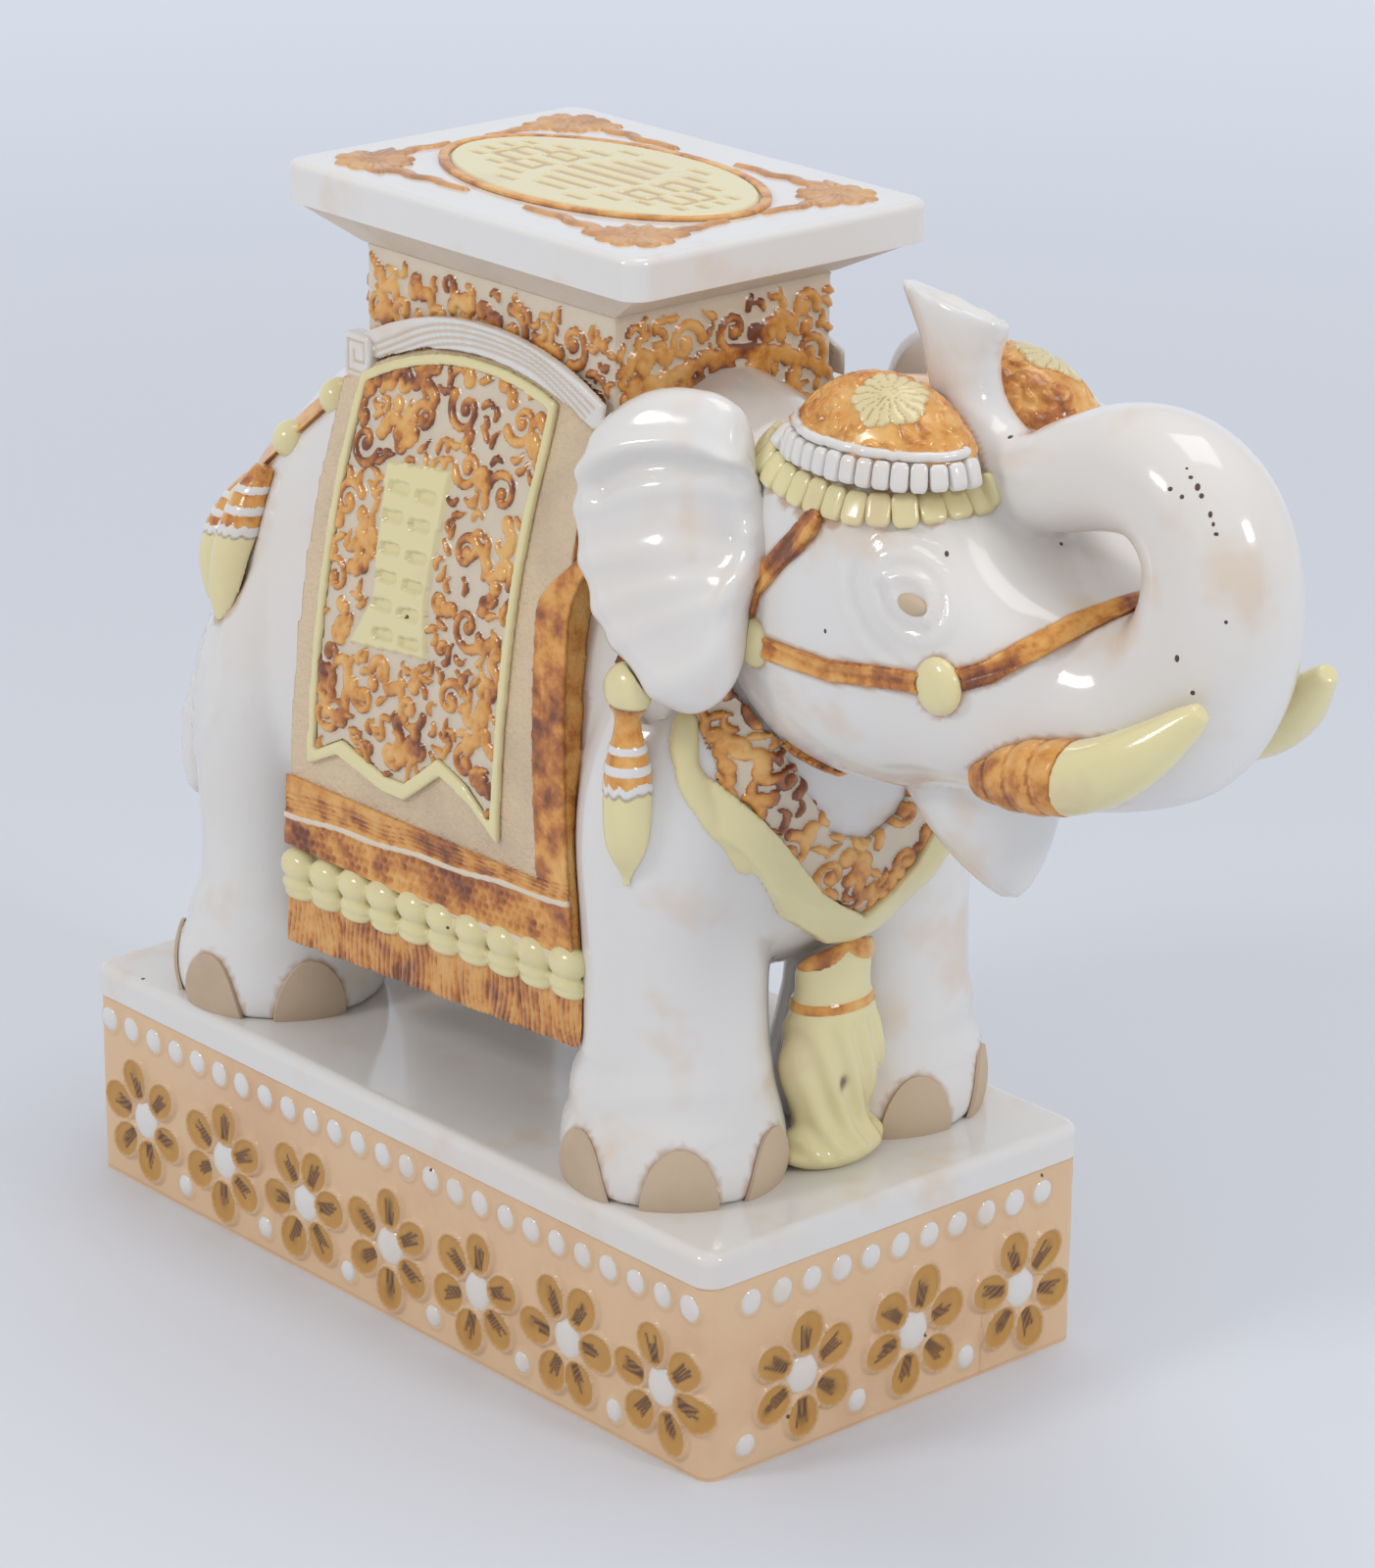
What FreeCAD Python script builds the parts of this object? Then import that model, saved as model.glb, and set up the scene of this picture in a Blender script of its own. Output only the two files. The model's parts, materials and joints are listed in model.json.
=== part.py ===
import FreeCAD, Part
import Sketcher
import math
import os
from types import SimpleNamespace

V = FreeCAD.Vector
UP = V(0, 0, 1)
FORWARD = V(1, 0, 0)
SIDEWAYS = V(0, 1, 0)
CENTRE = V(0, 0, 0)

# Driving sizes of the stool, in millimetres, and the few angles and counts, one row each.
SHEET_ROWS = [
    ("overrun", 6.0, "how far every cutting tool runs past what it cuts"),
    ("wall", 9.0, "thickness of the cast clay walls"),
    ("vent_radius", 6.0, "air holes between the closed hollows"),
    ("plinth_length", 385.0, "slab, front to back"),
    ("plinth_width", 195.0, "slab, side to side"),
    ("plinth_height", 79.0, "floor to the underside of the slab"),
    ("plinth_wall", 12.0, "thickness of the four bisque walls"),
    ("plinth_inset", 1.5, "how far the walls stand in from the slab edge"),
    ("plinth_corner", 6.0, "radius of the upright corners of the walls"),
    ("slab_thickness", 13.4, "glazed top of the plinth"),
    ("slab_corner", 9.0, "radius of the slab corners seen from above"),
    ("slab_edge", 4.5, "rounding along the upper slab edge"),
    ("bead_radius", 5.0, "row of beads under the slab"),
    ("bead_rise", 2.4, "how far a bead stands off the wall"),
    ("bead_pitch", 15.1, "bead to bead"),
    ("bead_drop", 10.0, "bead centre below the slab"),
    ("flower_radius", 24.5, "flower centre to petal tip"),
    ("flower_eye", 8.5, "radius of the round flower centre"),
    ("flower_eye_rise", 2.4, "how far the flower centre stands out"),
    ("flower_eye_round", 1.6, "rounding of the flower centre's rim"),
    ("petal_width", 12.5, "widest part of a petal"),
    ("petal_rise", 1.8, "how far a petal stands out"),
    ("flower_height", 31.0, "flower centres above the floor"),
    ("flower_pitch_side", 54.0, "flower to flower on the long sides"),
    ("flower_shift_side", 4.0, "the long row sits this much towards the head"),
    ("flower_pitch_end", 57.0, "flower to flower on the short sides"),
    ("flower_shift_end", 8.0, "the short row sits this much to one side"),
    ("stud_radius", 4.6, "small round studs between the flowers"),
    ("stud_rise", 2.2, "how far a stud stands off the wall"),
    ("stud_height", 11.0, "stud centres above the floor"),
    ("feet_length", 242.0, "hind foot centres to front foot centres"),
    ("feet_width", 104.0, "right foot centres to left foot centres"),
    ("foot_radius", 43.0, "foot at its widest"),
    ("leg_height", 205.0, "slab to the top of a leg inside the body"),
    ("leg_bore", 22.0, "radius of the hollow in each leg"),
    ("nail_width", 30.0, "toenail, side to side"),
    ("nail_height", 25.0, "toenail above the slab"),
    ("nail_rise", 1.4, "how far a toenail stands off the foot"),
    ("body_length", 330.0, "rump to chest"),
    ("body_centre", 2.0, "middle of the body in front of the plinth centre"),
    ("body_half_width", 79.0, "body at its widest, from the middle plane"),
    ("belly_height", 152.0, "lowest line of the belly"),
    ("back_height", 394.0, "highest line of the back"),
    ("head_rear", 138.0, "back of the head, inside the neck"),
    ("head_length", 160.0, "back of the head to the snout"),
    ("head_half_width", 64.0, "head at its widest, from the middle plane"),
    ("jaw_height", 258.0, "lowest line of the head"),
    ("crown_height", 401.0, "highest line of the head"),
    ("trunk_root_x", 284.0, "middle of the trunk root"),
    ("trunk_root_z", 312.0, "height of the trunk root"),
    ("trunk_reach", 50.0, "trunk root to the foremost bend"),
    ("trunk_rise", 125.0, "trunk root to the trunk tip"),
    ("trunk_radius", 40.0, "radius of the trunk at its root"),
    ("nostril_depth", 7.0, "dish in the end of the trunk"),
    ("lip_top", 272.0, "where the lower lip leaves the jaw"),
    ("lip_drop", 46.0, "lip root to lip tip"),
    ("lip_x", 228.0, "middle of the lip root"),
    ("lip_half_width", 27.0, "lip root, from the middle plane"),
    ("tusk_radius", 13.0, "tusk where it leaves its cuff"),
    ("tusk_start_x", 271.0, "root of the tusk cuff"),
    ("tusk_start_y", 42.0, "root of the tusk cuff, from the middle plane"),
    ("tusk_start_z", 289.0, "root of the tusk cuff"),
    ("tusk_length", 91.0, "cuff root to tusk tip, along X"),
    ("tusk_lift", 45.0, "cuff root to tusk tip, upwards"),
    ("ear_height", 114.0, "ear, top to bottom"),
    ("ear_length", 78.0, "ear, front to back"),
    ("ear_thickness", 22.0, "ear flap at its thickest"),
    ("ear_root_x", 175.0, "front edge of the ear"),
    ("ear_low", 288.0, "lowest point of the ear"),
    ("ear_root_y", 52.0, "front edge of the ear, from the middle plane"),
    ("ear_flare", 15.0, "degrees that the ear stands out from the neck"),
    ("ear_lean", 12.0, "degrees that the ear leans in at its top"),
    ("eye_x", 247.0, "eye, from the plinth centre"),
    ("eye_z", 348.0, "eye, above the floor"),
    ("eye_length", 15.0, "bare clay of the eye, front to back"),
    ("eye_height", 8.0, "bare clay of the eye, up and down"),
    ("eye_rise", 1.5, "how far the eye stands off the head"),
    ("tail_radius", 8.0, "tail at its root"),
    ("tail_length", 140.0, "tail root to the end of the tuft"),
    ("pillar_length", 147.3, "seat pillar, front to back"),
    ("pillar_width", 109.2, "seat pillar, side to side"),
    ("pillar_top", 417.0, "top of the seat pillar"),
    ("pillar_depth", 90.0, "height of the pillar before it is fitted to the back"),
    ("pillar_centre", 15.0, "seat pillar centre in front of the plinth centre"),
    ("seat_centre", 18.0, "seat slab centre in front of the plinth centre"),
    ("seat_length", 205.5, "seat slab, front to back"),
    ("seat_width", 147.5, "seat slab, side to side"),
    ("seat_thickness", 15.7, "seat slab"),
    ("seat_corner", 9.0, "radius of the seat corners seen from above"),
    ("seat_edge", 3.0, "rounding along the upper seat edge"),
    ("corbel_height", 14.6, "sloping moulding between pillar and seat slab"),
    ("corbel_inset", 3.0, "corbel top stands in from the seat edge"),
    ("medallion_half_length", 79.0, "amber ring on the seat, along X"),
    ("medallion_half_width", 47.0, "amber ring on the seat, along Y"),
    ("ring_width", 4.0, "width of the amber ring and of the yellow rim"),
    ("relief", 1.6, "height of the raised ornament on the seat"),
    ("fret_width", 5.0, "width of one bar of the fretwork"),
    ("leaf_length", 17.0, "one leaf of a corner spray"),
    ("leaf_width", 9.0, "one leaf of a corner spray"),
    ("cloth_reach", 86.0, "outer face of the saddle cloth, from the middle plane"),
    ("cloth_thickness", 7.0, "saddle cloth where it hangs free of the body"),
    ("cloth_bottom", 135.0, "lower edge of the fringe"),
    ("cloth_top_y", 56.0, "outer face of the cloth at the pillar"),
    ("cloth_bend", 215.0, "height where the cloth starts to curve in"),
    ("cloth_length_low", 182.0, "saddle cloth along its hem"),
    ("cloth_length_high", 141.0, "saddle cloth under the arch"),
    ("cloth_centre_low", 17.0, "middle of the hem in front of the plinth centre"),
    ("cloth_centre_high", 10.5, "middle of the upper edge in front of the plinth centre"),
    ("fringe_height", 22.0, "combed fringe"),
    ("head_row_height", 19.0, "row of round tassel heads"),
    ("pitted_height", 16.0, "pitted band"),
    ("groove_height", 14.0, "grooved band"),
    ("band_rise", 1.6, "how far bands, frame and panel stand off the cloth"),
    ("side_band", 18.0, "brown band down the front edge of the cloth"),
    ("frame_width", 4.0, "yellow line round the scroll panel"),
    ("frame_low", 214.0, "lowest points of the yellow frame"),
    ("frame_rise", 2.6, "how far the yellow line stands off the cloth"),
    ("tassel_count", 10.0, "round tassel heads on each side"),
    ("arch_radius", 155.0, "upper edge of the arch moulding"),
    ("arch_height", 12.0, "arch moulding, up and down"),
    ("arch_crown", 401.0, "highest point of the arch moulding"),
    ("arch_centre", 20.0, "middle of the arch in front of the plinth centre"),
    ("arch_rise", 6.0, "how far the arch stands off the pillar"),
    ("dome_x", 206.0, "middle of a brow dome"),
    ("dome_y", 31.0, "middle of a brow dome, from the middle plane"),
    ("dome_top", 417.0, "top of a brow dome"),
    ("dome_half_length", 43.0, "brow dome along X"),
    ("dome_half_width", 28.0, "brow dome along Y"),
    ("dome_half_height", 40.0, "brow dome up and down, before it is seated"),
    ("brow_rise", 3.0, "thickness of the brow cloth on the head"),
    ("pearl_length", 11.0, "long white beads under the brow"),
    ("pearl_width", 7.0, "long white beads under the brow"),
    ("scallop_width", 8.5, "yellow scallops below the beads"),
    ("strap_width", 8.0, "bridle and harness straps"),
    ("strap_rise", 1.8, "how far a strap stands off the skin"),
    ("cheek_boss", 10.5, "radius of the boss on the cheek"),
    ("ear_boss", 8.5, "radius of the boss in front of the ear"),
    ("boss_rise", 5.0, "how far a bridle boss stands out"),
    ("drop_ball", 10.5, "radius of the ball of the ear drop"),
    ("drop_length", 75.0, "ball centre to the tip of the ear drop"),
    ("drop_x", 134.0, "ear drop, from the plinth centre"),
    ("drop_y", 87.0, "ear drop, from the middle plane"),
    ("drop_top", 294.0, "ball centre above the floor"),
    ("collar_rise", 3.0, "thickness of the chest collar on the chest"),
    ("border_rise", 5.0, "thickness of the yellow edge of the collar"),
    ("collar_half_width", 84.0, "chest collar, from the middle plane"),
    ("collar_low", 183.0, "lowest point of the collar"),
    ("collar_high", 300.0, "upper ends of the collar"),
    ("collar_border", 11.0, "width of the yellow edge"),
    ("tassel_x", 152.0, "chest tassel in front of the plinth centre"),
    ("tassel_half_width", 22.0, "chest tassel at its fullest"),
    ("tassel_half_depth", 14.0, "chest tassel, front to back"),
    ("rump_ball", 8.0, "radius of the balls on the rump"),
    ("rump_tassel_radius", 11.0, "rump tassel at its fullest"),
]

os.makedirs("parts", exist_ok=True)
doc = FreeCAD.newDocument("elephant_stool")


def make_sheet():
    sheet = doc.addObject("Spreadsheet::Sheet", "Sizes")
    for row, (alias, value, meaning) in enumerate(SHEET_ROWS, start=1):
        sheet.set("A%d" % row, alias)
        sheet.set("B%d" % row, str(value))
        sheet.set("C%d" % row, meaning)
        sheet.setAlias("B%d" % row, alias)
    doc.recompute()
    return sheet


sheet = make_sheet()
S = SimpleNamespace(**{alias: float(sheet.get(alias)) for alias, _, _ in SHEET_ROWS})
S.slab_top = S.plinth_height + S.slab_thickness
S.corbel_top = S.pillar_top + S.corbel_height
S.seat_top = S.corbel_top + S.seat_thickness

nodes = []


# Small helpers: naming, placing, joining and cutting.

def keep(name, thing):
    """Label a finished sub-part and put it on the list of pieces to write out."""
    thing.Label = name
    nodes.append(thing)
    return thing


def feature(name, shape):
    thing = doc.addObject("Part::Feature", name)
    thing.Shape = shape
    return thing


def largest(shape):
    return max(shape.Solids, key=lambda solid: solid.Volume)


def trimmed(shape, *tools):
    """The shape with every tool that reaches it taken out."""
    for tool in tools:
        if shape.BoundBox.intersect(tool.BoundBox):
            shape = shape.cut(tool)
    return shape


def less(shape, *tools):
    """The shape with every tool taken out of it, as its one largest solid."""
    return largest(trimmed(shape, *tools))


def group(solids):
    return Part.makeCompound(list(solids))


def mirrored(shape):
    return shape.mirror(CENTRE, SIDEWAYS)


def pair(name, shape):
    """A piece on the right flank and its twin on the left flank."""
    keep(name + "_right", feature(name + "_right", shape))
    keep(name + "_left", feature(name + "_left", mirrored(shape)))


def both(name, solids):
    """Small pieces of the right flank and their twins, kept as one sub-part."""
    keep(name, feature(name, group(list(solids) + [mirrored(solid) for solid in solids])))


def ellipsoid(half_x, half_y, half_z, place):
    matrix = FreeCAD.Matrix()
    matrix.scale(half_x, half_y, half_z)
    ball = Part.makeSphere(1).transformGeometry(matrix)
    ball.translate(place)
    return ball


def between(low, high, share):
    return low + (high - low) * share


def smooth_loop(points):
    curve = Part.BSplineCurve()
    curve.interpolate(Points=points, PeriodicFlag=True)
    return Part.Wire([curve.toShape()])


def side_plate(outline, near, far):
    """A flat outline given as (x, z), drawn across the middle plane from y = -near to -far."""
    corners = [V(x, -near, z) for x, z in outline]
    face = Part.Face(Part.makePolygon(corners + corners[:1]))
    return face.extrude(V(0, near - far, 0))


def front_plate(outline, near, far):
    """A flat outline given as (y, z), drawn along X from near to far."""
    corners = [V(near, y, z) for y, z in outline]
    face = Part.Face(Part.makePolygon(corners + corners[:1]))
    return face.extrude(V(far - near, 0, 0))


def ribbon(points, width, near, far):
    """A band of even width along a line of (x, z) points, with round joints, across the flank."""
    pieces = []
    for x, z in points:
        pieces.append(Part.makeCylinder(width / 2, far - near, V(x, -far, z), SIDEWAYS))
    for (x0, z0), (x1, z1) in zip(points, points[1:]):
        run = V(x1 - x0, 0, z1 - z0)
        side = V(-run.z, 0, run.x).normalize() * (width / 2)
        corners = [V(x0, -far, z0) + side, V(x1, -far, z1) + side,
                   V(x1, -far, z1) - side, V(x0, -far, z0) - side]
        face = Part.Face(Part.makePolygon(corners + corners[:1]))
        pieces.append(face.extrude(V(0, far - near, 0)))
    return pieces[0].fuse(pieces[1:]).removeSplitter()


def tube(stations):
    """A solid through circles, drawn upwards: each station is (centre, radius), square to the line."""
    wires = []
    if stations[-1][0].z < stations[0][0].z:
        stations = stations[::-1]
    count = len(stations)
    for number, (centre, radius) in enumerate(stations):
        before = stations[max(number - 1, 0)][0]
        after = stations[min(number + 1, count - 1)][0]
        run = (after - before).normalize()
        circle = Part.Wire([Part.makeCircle(radius)])
        circle.Placement = FreeCAD.Placement(centre, FreeCAD.Rotation(UP, run))
        wires.append(circle)
    return Part.makeLoft(wires, True, False)


def bar(length, width, height, middle):
    return Part.makeBox(length, width, height,
                        V(middle.x - length / 2, middle.y - width / 2, middle.z))


# Bodies drawn as sketches and pads.

def plane_of(body, role):
    return [item for item in body.Origin.OriginFeatures if item.Role == role][0]


def sketch_on(body, name, lift=None):
    sketch = body.newObject("Sketcher::SketchObject", name)
    sketch.AttachmentSupport = [(plane_of(body, "XY_Plane"), "")]
    sketch.MapMode = "FlatFace"
    if lift:
        sketch.setExpression("AttachmentOffset.Base.z", lift)
    return sketch


def centred_rectangle(sketch, length, width):
    corners = [V(-1, -1, 0), V(1, -1, 0), V(1, 1, 0), V(-1, 1, 0)]
    for number in range(4):
        sketch.addGeometry(Part.LineSegment(corners[number], corners[(number + 1) % 4]), False)
    for number in range(4):
        sketch.addConstraint(Sketcher.Constraint("Coincident", number, 2, (number + 1) % 4, 1))
    sketch.addConstraint(Sketcher.Constraint("Horizontal", 0))
    sketch.addConstraint(Sketcher.Constraint("Horizontal", 2))
    sketch.addConstraint(Sketcher.Constraint("Vertical", 1))
    sketch.addConstraint(Sketcher.Constraint("Vertical", 3))
    sketch.addConstraint(Sketcher.Constraint("Symmetric", 0, 1, 2, 1, -1, 1))
    across = sketch.addConstraint(Sketcher.Constraint("DistanceX", 0, 1, 0, 2, 2))
    deep = sketch.addConstraint(Sketcher.Constraint("DistanceY", 1, 1, 1, 2, 2))
    sketch.setExpression("Constraints[%d]" % across, length)
    sketch.setExpression("Constraints[%d]" % deep, width)


def four_circles(sketch, radius, spread_x, spread_y):
    """Four equal circles at the corners of a centred rectangle."""
    for number, (side_x, side_y) in enumerate([(1, 1), (1, -1), (-1, 1), (-1, -1)]):
        sketch.addGeometry(Part.Circle(V(side_x * S.feet_length / 2, side_y * S.feet_width / 2, 0),
                                       UP, S.vent_radius), False)
        size = sketch.addConstraint(Sketcher.Constraint("Radius", number, S.vent_radius))
        along = sketch.addConstraint(Sketcher.Constraint(
            "DistanceX", -1, 1, number, 3, side_x * S.feet_length / 2))
        across = sketch.addConstraint(Sketcher.Constraint(
            "DistanceY", -1, 1, number, 3, side_y * S.feet_width / 2))
        sketch.setExpression("Constraints[%d]" % size, radius)
        sketch.setExpression("Constraints[%d]" % along, "%d * %s / 2" % (side_x, spread_x))
        sketch.setExpression("Constraints[%d]" % across, "%d * %s / 2" % (side_y, spread_y))


def pad(body, sketch, length):
    block = body.newObject("PartDesign::Pad", "Pad")
    block.Profile = sketch
    block.setExpression("Length", length)
    doc.recompute()
    return block


def pocket_up(body, sketch):
    """Cut the sketch upwards through everything."""
    volume = body.Shape.Volume
    hole = body.newObject("PartDesign::Pocket", "Pocket")
    hole.Profile = sketch
    hole.Type = "ThroughAll"
    hole.Reversed = True
    doc.recompute()
    if body.Shape.Volume >= volume:
        raise RuntimeError("a pocket in %s cut nothing" % body.Label)
    return hole


def fillet(body, base, chosen, radius):
    names = ["Edge%d" % number for number, edge in enumerate(base.Shape.Edges, start=1) if chosen(edge)]
    rounding = body.newObject("PartDesign::Fillet", "Fillet")
    rounding.Base = (base, names)
    rounding.setExpression("Radius", radius)
    doc.recompute()
    return rounding


def upright(edge):
    low, high = edge.Vertexes[0].Point, edge.Vertexes[-1].Point
    return abs((high - low).normalize().dot(UP)) > 0.99


def highest(base):
    top = base.Shape.BoundBox.ZMax
    hair = S.overrun / 100
    return lambda edge: edge.BoundBox.ZMin > top - hair


# The plinth: four bisque walls, open below, under a glazed slab.

def plinth_wall():
    body = doc.addObject("PartDesign::Body", "plinth_wall")
    outline = sketch_on(body, "wall_outline")
    centred_rectangle(outline, "Sizes.plinth_length - 2 * Sizes.plinth_inset",
                      "Sizes.plinth_width - 2 * Sizes.plinth_inset")
    block = pad(body, outline, "Sizes.plinth_height")
    fillet(body, block, upright, "Sizes.plinth_corner")
    hollow = sketch_on(body, "wall_hollow")
    centred_rectangle(hollow, "Sizes.plinth_length - 2 * Sizes.plinth_inset - 2 * Sizes.plinth_wall",
                      "Sizes.plinth_width - 2 * Sizes.plinth_inset - 2 * Sizes.plinth_wall")
    pocket_up(body, hollow)
    return keep("plinth_wall", body)


def plinth_slab():
    body = doc.addObject("PartDesign::Body", "plinth_slab")
    outline = sketch_on(body, "slab_outline")
    centred_rectangle(outline, "Sizes.plinth_length", "Sizes.plinth_width")
    block = pad(body, outline, "Sizes.slab_thickness")
    rounded = fillet(body, block, upright, "Sizes.slab_corner")
    fillet(body, rounded, highest(rounded), "Sizes.slab_edge")
    vents = sketch_on(body, "slab_vents")
    four_circles(vents, "Sizes.vent_radius", "Sizes.feet_length", "Sizes.feet_width")
    pocket_up(body, vents)
    body.setExpression("Placement.Base.z", "Sizes.plinth_height")
    return keep("plinth_slab", body)


def dome(radius, rise):
    """A spherical cap on the plane x = 0 that bulges towards +X."""
    sphere_radius = (radius * radius + rise * rise) / (2 * rise)
    rim = math.degrees(math.asin((sphere_radius - rise) / sphere_radius))
    return Part.makeSphere(sphere_radius, V(rise - sphere_radius, 0, 0), FORWARD, rim, 90, 360)


def button(radius, rise, rounding):
    """A round button on the plane x = 0 that faces +X, with a rounded rim."""
    disc = Part.makeCylinder(radius, rise, CENTRE, FORWARD)
    rim = [edge for edge in disc.Edges if edge.BoundBox.XMin > rise / 2]
    return disc.makeFillet(rounding, rim)


def walls():
    """The four wall faces as (middle of the face, outward turn about Z, half length)."""
    half_length = S.plinth_length / 2 - S.plinth_inset
    half_width = S.plinth_width / 2 - S.plinth_inset
    return {"front": (V(half_length, 0, 0), 0, half_width),
            "left": (V(0, half_width, 0), 90, half_length),
            "back": (V(-half_length, 0, 0), 180, half_width),
            "right": (V(0, -half_width, 0), 270, half_length)}


def on_wall(shape, wall, along, height):
    """Copy a relief that was made on x = 0 to a place on one wall."""
    middle, turn, _ = walls()[wall]
    copy = shape.copy()
    copy.translate(V(0, along, height))
    copy.rotate(CENTRE, UP, turn)
    copy.translate(middle)
    return copy


def flower_places(wall):
    """Distances of the flower centres along a wall, measured to the right as one faces out."""
    if wall in ("front", "back"):
        return [S.flower_shift_end + S.flower_pitch_end * step for step in (-1, 0, 1)]
    return [S.flower_shift_side + S.flower_pitch_side * step for step in range(-3, 4)]


def bead_row():
    bead = dome(S.bead_radius, S.bead_rise)
    beads = []
    for wall, (_, _, half) in walls().items():
        flat = half - S.plinth_corner - S.bead_radius / 2
        steps = int(flat / S.bead_pitch)
        for step in range(-steps, steps + 1):
            beads.append(on_wall(bead, wall, step * S.bead_pitch, S.plinth_height - S.bead_drop))
    return keep("bead_row", feature("bead_row", group(beads)))


def petal():
    """One rounded petal lying along +Z from the flower centre, on x = 0."""
    reach = S.flower_radius - S.flower_eye
    middle = S.flower_eye + reach / 2
    oval = Part.Ellipse(CENTRE, reach / 2, S.petal_width / 2)
    face = Part.Face(Part.Wire([oval.toShape()]))
    pad_shape = face.extrude(V(0, 0, S.petal_rise))
    pad_shape.rotate(CENTRE, SIDEWAYS, 90)
    pad_shape.rotate(CENTRE, FORWARD, 0)
    pad_shape.translate(V(0, 0, middle))
    return pad_shape


def flower_row(wall):
    """Flowers with six petals; what would run past a corner is trimmed there."""
    _, _, half = walls()[wall]
    blade = petal()
    low = bar(S.petal_rise * 4, (half - S.plinth_corner) * 2, S.plinth_height, CENTRE)
    petals = []
    for along in flower_places(wall):
        for step in range(6):
            leaf = blade.copy()
            leaf.rotate(CENTRE, FORWARD, 60 * step)
            leaf.translate(V(0, along, S.flower_height))
            leaf = leaf.common(low)
            if leaf.Solids:
                petals.append(on_wall(largest(leaf), wall, 0, 0))
    return petals


def plinth_flowers():
    for name, pair_of_walls in (("petals_sides", ("left", "right")), ("petals_ends", ("front", "back"))):
        keep(name, feature(name, group(sum((flower_row(wall) for wall in pair_of_walls), []))))
    eye = button(S.flower_eye - S.petal_rise / 4, S.flower_eye_rise, S.flower_eye_round)
    eyes = [on_wall(eye, wall, along, S.flower_height) for wall in walls() for along in flower_places(wall)]
    keep("flower_centres", feature("flower_centres", group(eyes)))


def plinth_studs():
    stud = dome(S.stud_radius, S.stud_rise)
    studs = []
    for wall, (_, _, half) in walls().items():
        pitch = S.flower_pitch_end if wall in ("front", "back") else S.flower_pitch_side
        places = flower_places(wall)
        for along in [places[0] - pitch / 2] + [place + pitch / 2 for place in places]:
            if abs(along) < half - S.stud_radius - S.plinth_corner / 2:
                studs.append(on_wall(stud, wall, along, S.stud_height))
    return keep("plinth_studs", feature("plinth_studs", group(studs)))


# The elephant's body: a barrel through upright sections, each (along, width, low, high) as shares.

BODY_SECTION_SHARES = [
    (0.000, 0.45, 0.28, 0.54), (0.020, 0.70, 0.18, 0.64), (0.076, 0.87, 0.09, 0.75),
    (0.160, 0.95, 0.04, 0.85), (0.310, 0.99, 0.01, 0.95), (0.490, 1.00, 0.00, 1.00),
    (0.680, 0.99, 0.00, 0.99), (0.800, 0.94, 0.02, 0.97), (0.890, 0.86, 0.06, 0.92),
    (0.965, 0.74, 0.14, 0.80), (1.000, 0.58, 0.22, 0.66)]
BODY_WAIST_SHARE = 0.34
BODY_FULLNESS = (2.0, 2.0)
HEAD_SECTION_SHARES = [
    (0.000, 0.75, 0.12, 0.84), (0.090, 0.875, 0.05, 0.92), (0.210, 0.95, 0.014, 0.98),
    (0.390, 1.00, 0.014, 1.00), (0.525, 0.985, 0.04, 0.965), (0.625, 0.953, 0.07, 0.874),
    (0.720, 0.92, 0.09, 0.783), (0.825, 0.84, 0.11, 0.706), (0.925, 0.72, 0.13, 0.664),
    (1.000, 0.59, 0.16, 0.622)]
HEAD_WAIST_SHARE = 0.43
HEAD_FULLNESS = (3.2, 2.3)
SECTION_POINTS = 20


def section_offset(angle, half_width, above, below, fullness):
    """Sideways and upward distance from the waist of a section whose corners are more or less full."""
    power = 2 / (fullness[0] if math.sin(angle) > 0 else fullness[1])
    height = above if math.sin(angle) > 0 else below
    side = math.copysign(abs(math.cos(angle)) ** power, math.cos(angle))
    rise = math.copysign(abs(math.sin(angle)) ** power, math.sin(angle))
    return half_width * side, height * rise


def section_points(x, half_width, low, high, waist_share, fullness):
    """Points of an egg-shaped section, from its top; its widest line lies at the waist share of its height."""
    waist = between(low, high, waist_share)
    points = []
    for step in range(SECTION_POINTS):
        turn = 2 * math.pi * step / SECTION_POINTS + math.pi / 2
        y, z = section_offset(turn, half_width, high - waist, waist - low, fullness)
        points.append(V(x, y, waist + z))
    return points


def barrel(shares, rear, length, half_width, low, high, waist_share, fullness, grow):
    wires = []
    for along, width, bottom, top in shares:
        x = rear - grow + (length + 2 * grow) * along
        wires.append(smooth_loop(section_points(
            x, half_width * width + grow, between(low, high, bottom) - grow,
            between(low, high, top) + grow, waist_share, fullness)))
    return Part.makeLoft(wires, True, False)


def body_form(grow):
    """The outside of the body, grown or shrunk all round."""
    return barrel(BODY_SECTION_SHARES, S.body_centre - S.body_length / 2, S.body_length, S.body_half_width,
                  S.belly_height, S.back_height, BODY_WAIST_SHARE, BODY_FULLNESS, grow)


def head_form(grow):
    """The outside of the head, grown or shrunk all round."""
    return barrel(HEAD_SECTION_SHARES, S.head_rear, S.head_length, S.head_half_width,
                  S.jaw_height, S.crown_height, HEAD_WAIST_SHARE, HEAD_FULLNESS, grow)


def section_at(table, along):
    """Width, bottom and top shares between two sections of a table."""
    for before, after in zip(table, table[1:]):
        if along <= after[0]:
            share = (along - before[0]) / (after[0] - before[0])
            return [between(before[item], after[item], share) for item in (1, 2, 3)]
    return table[-1][1:]


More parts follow.
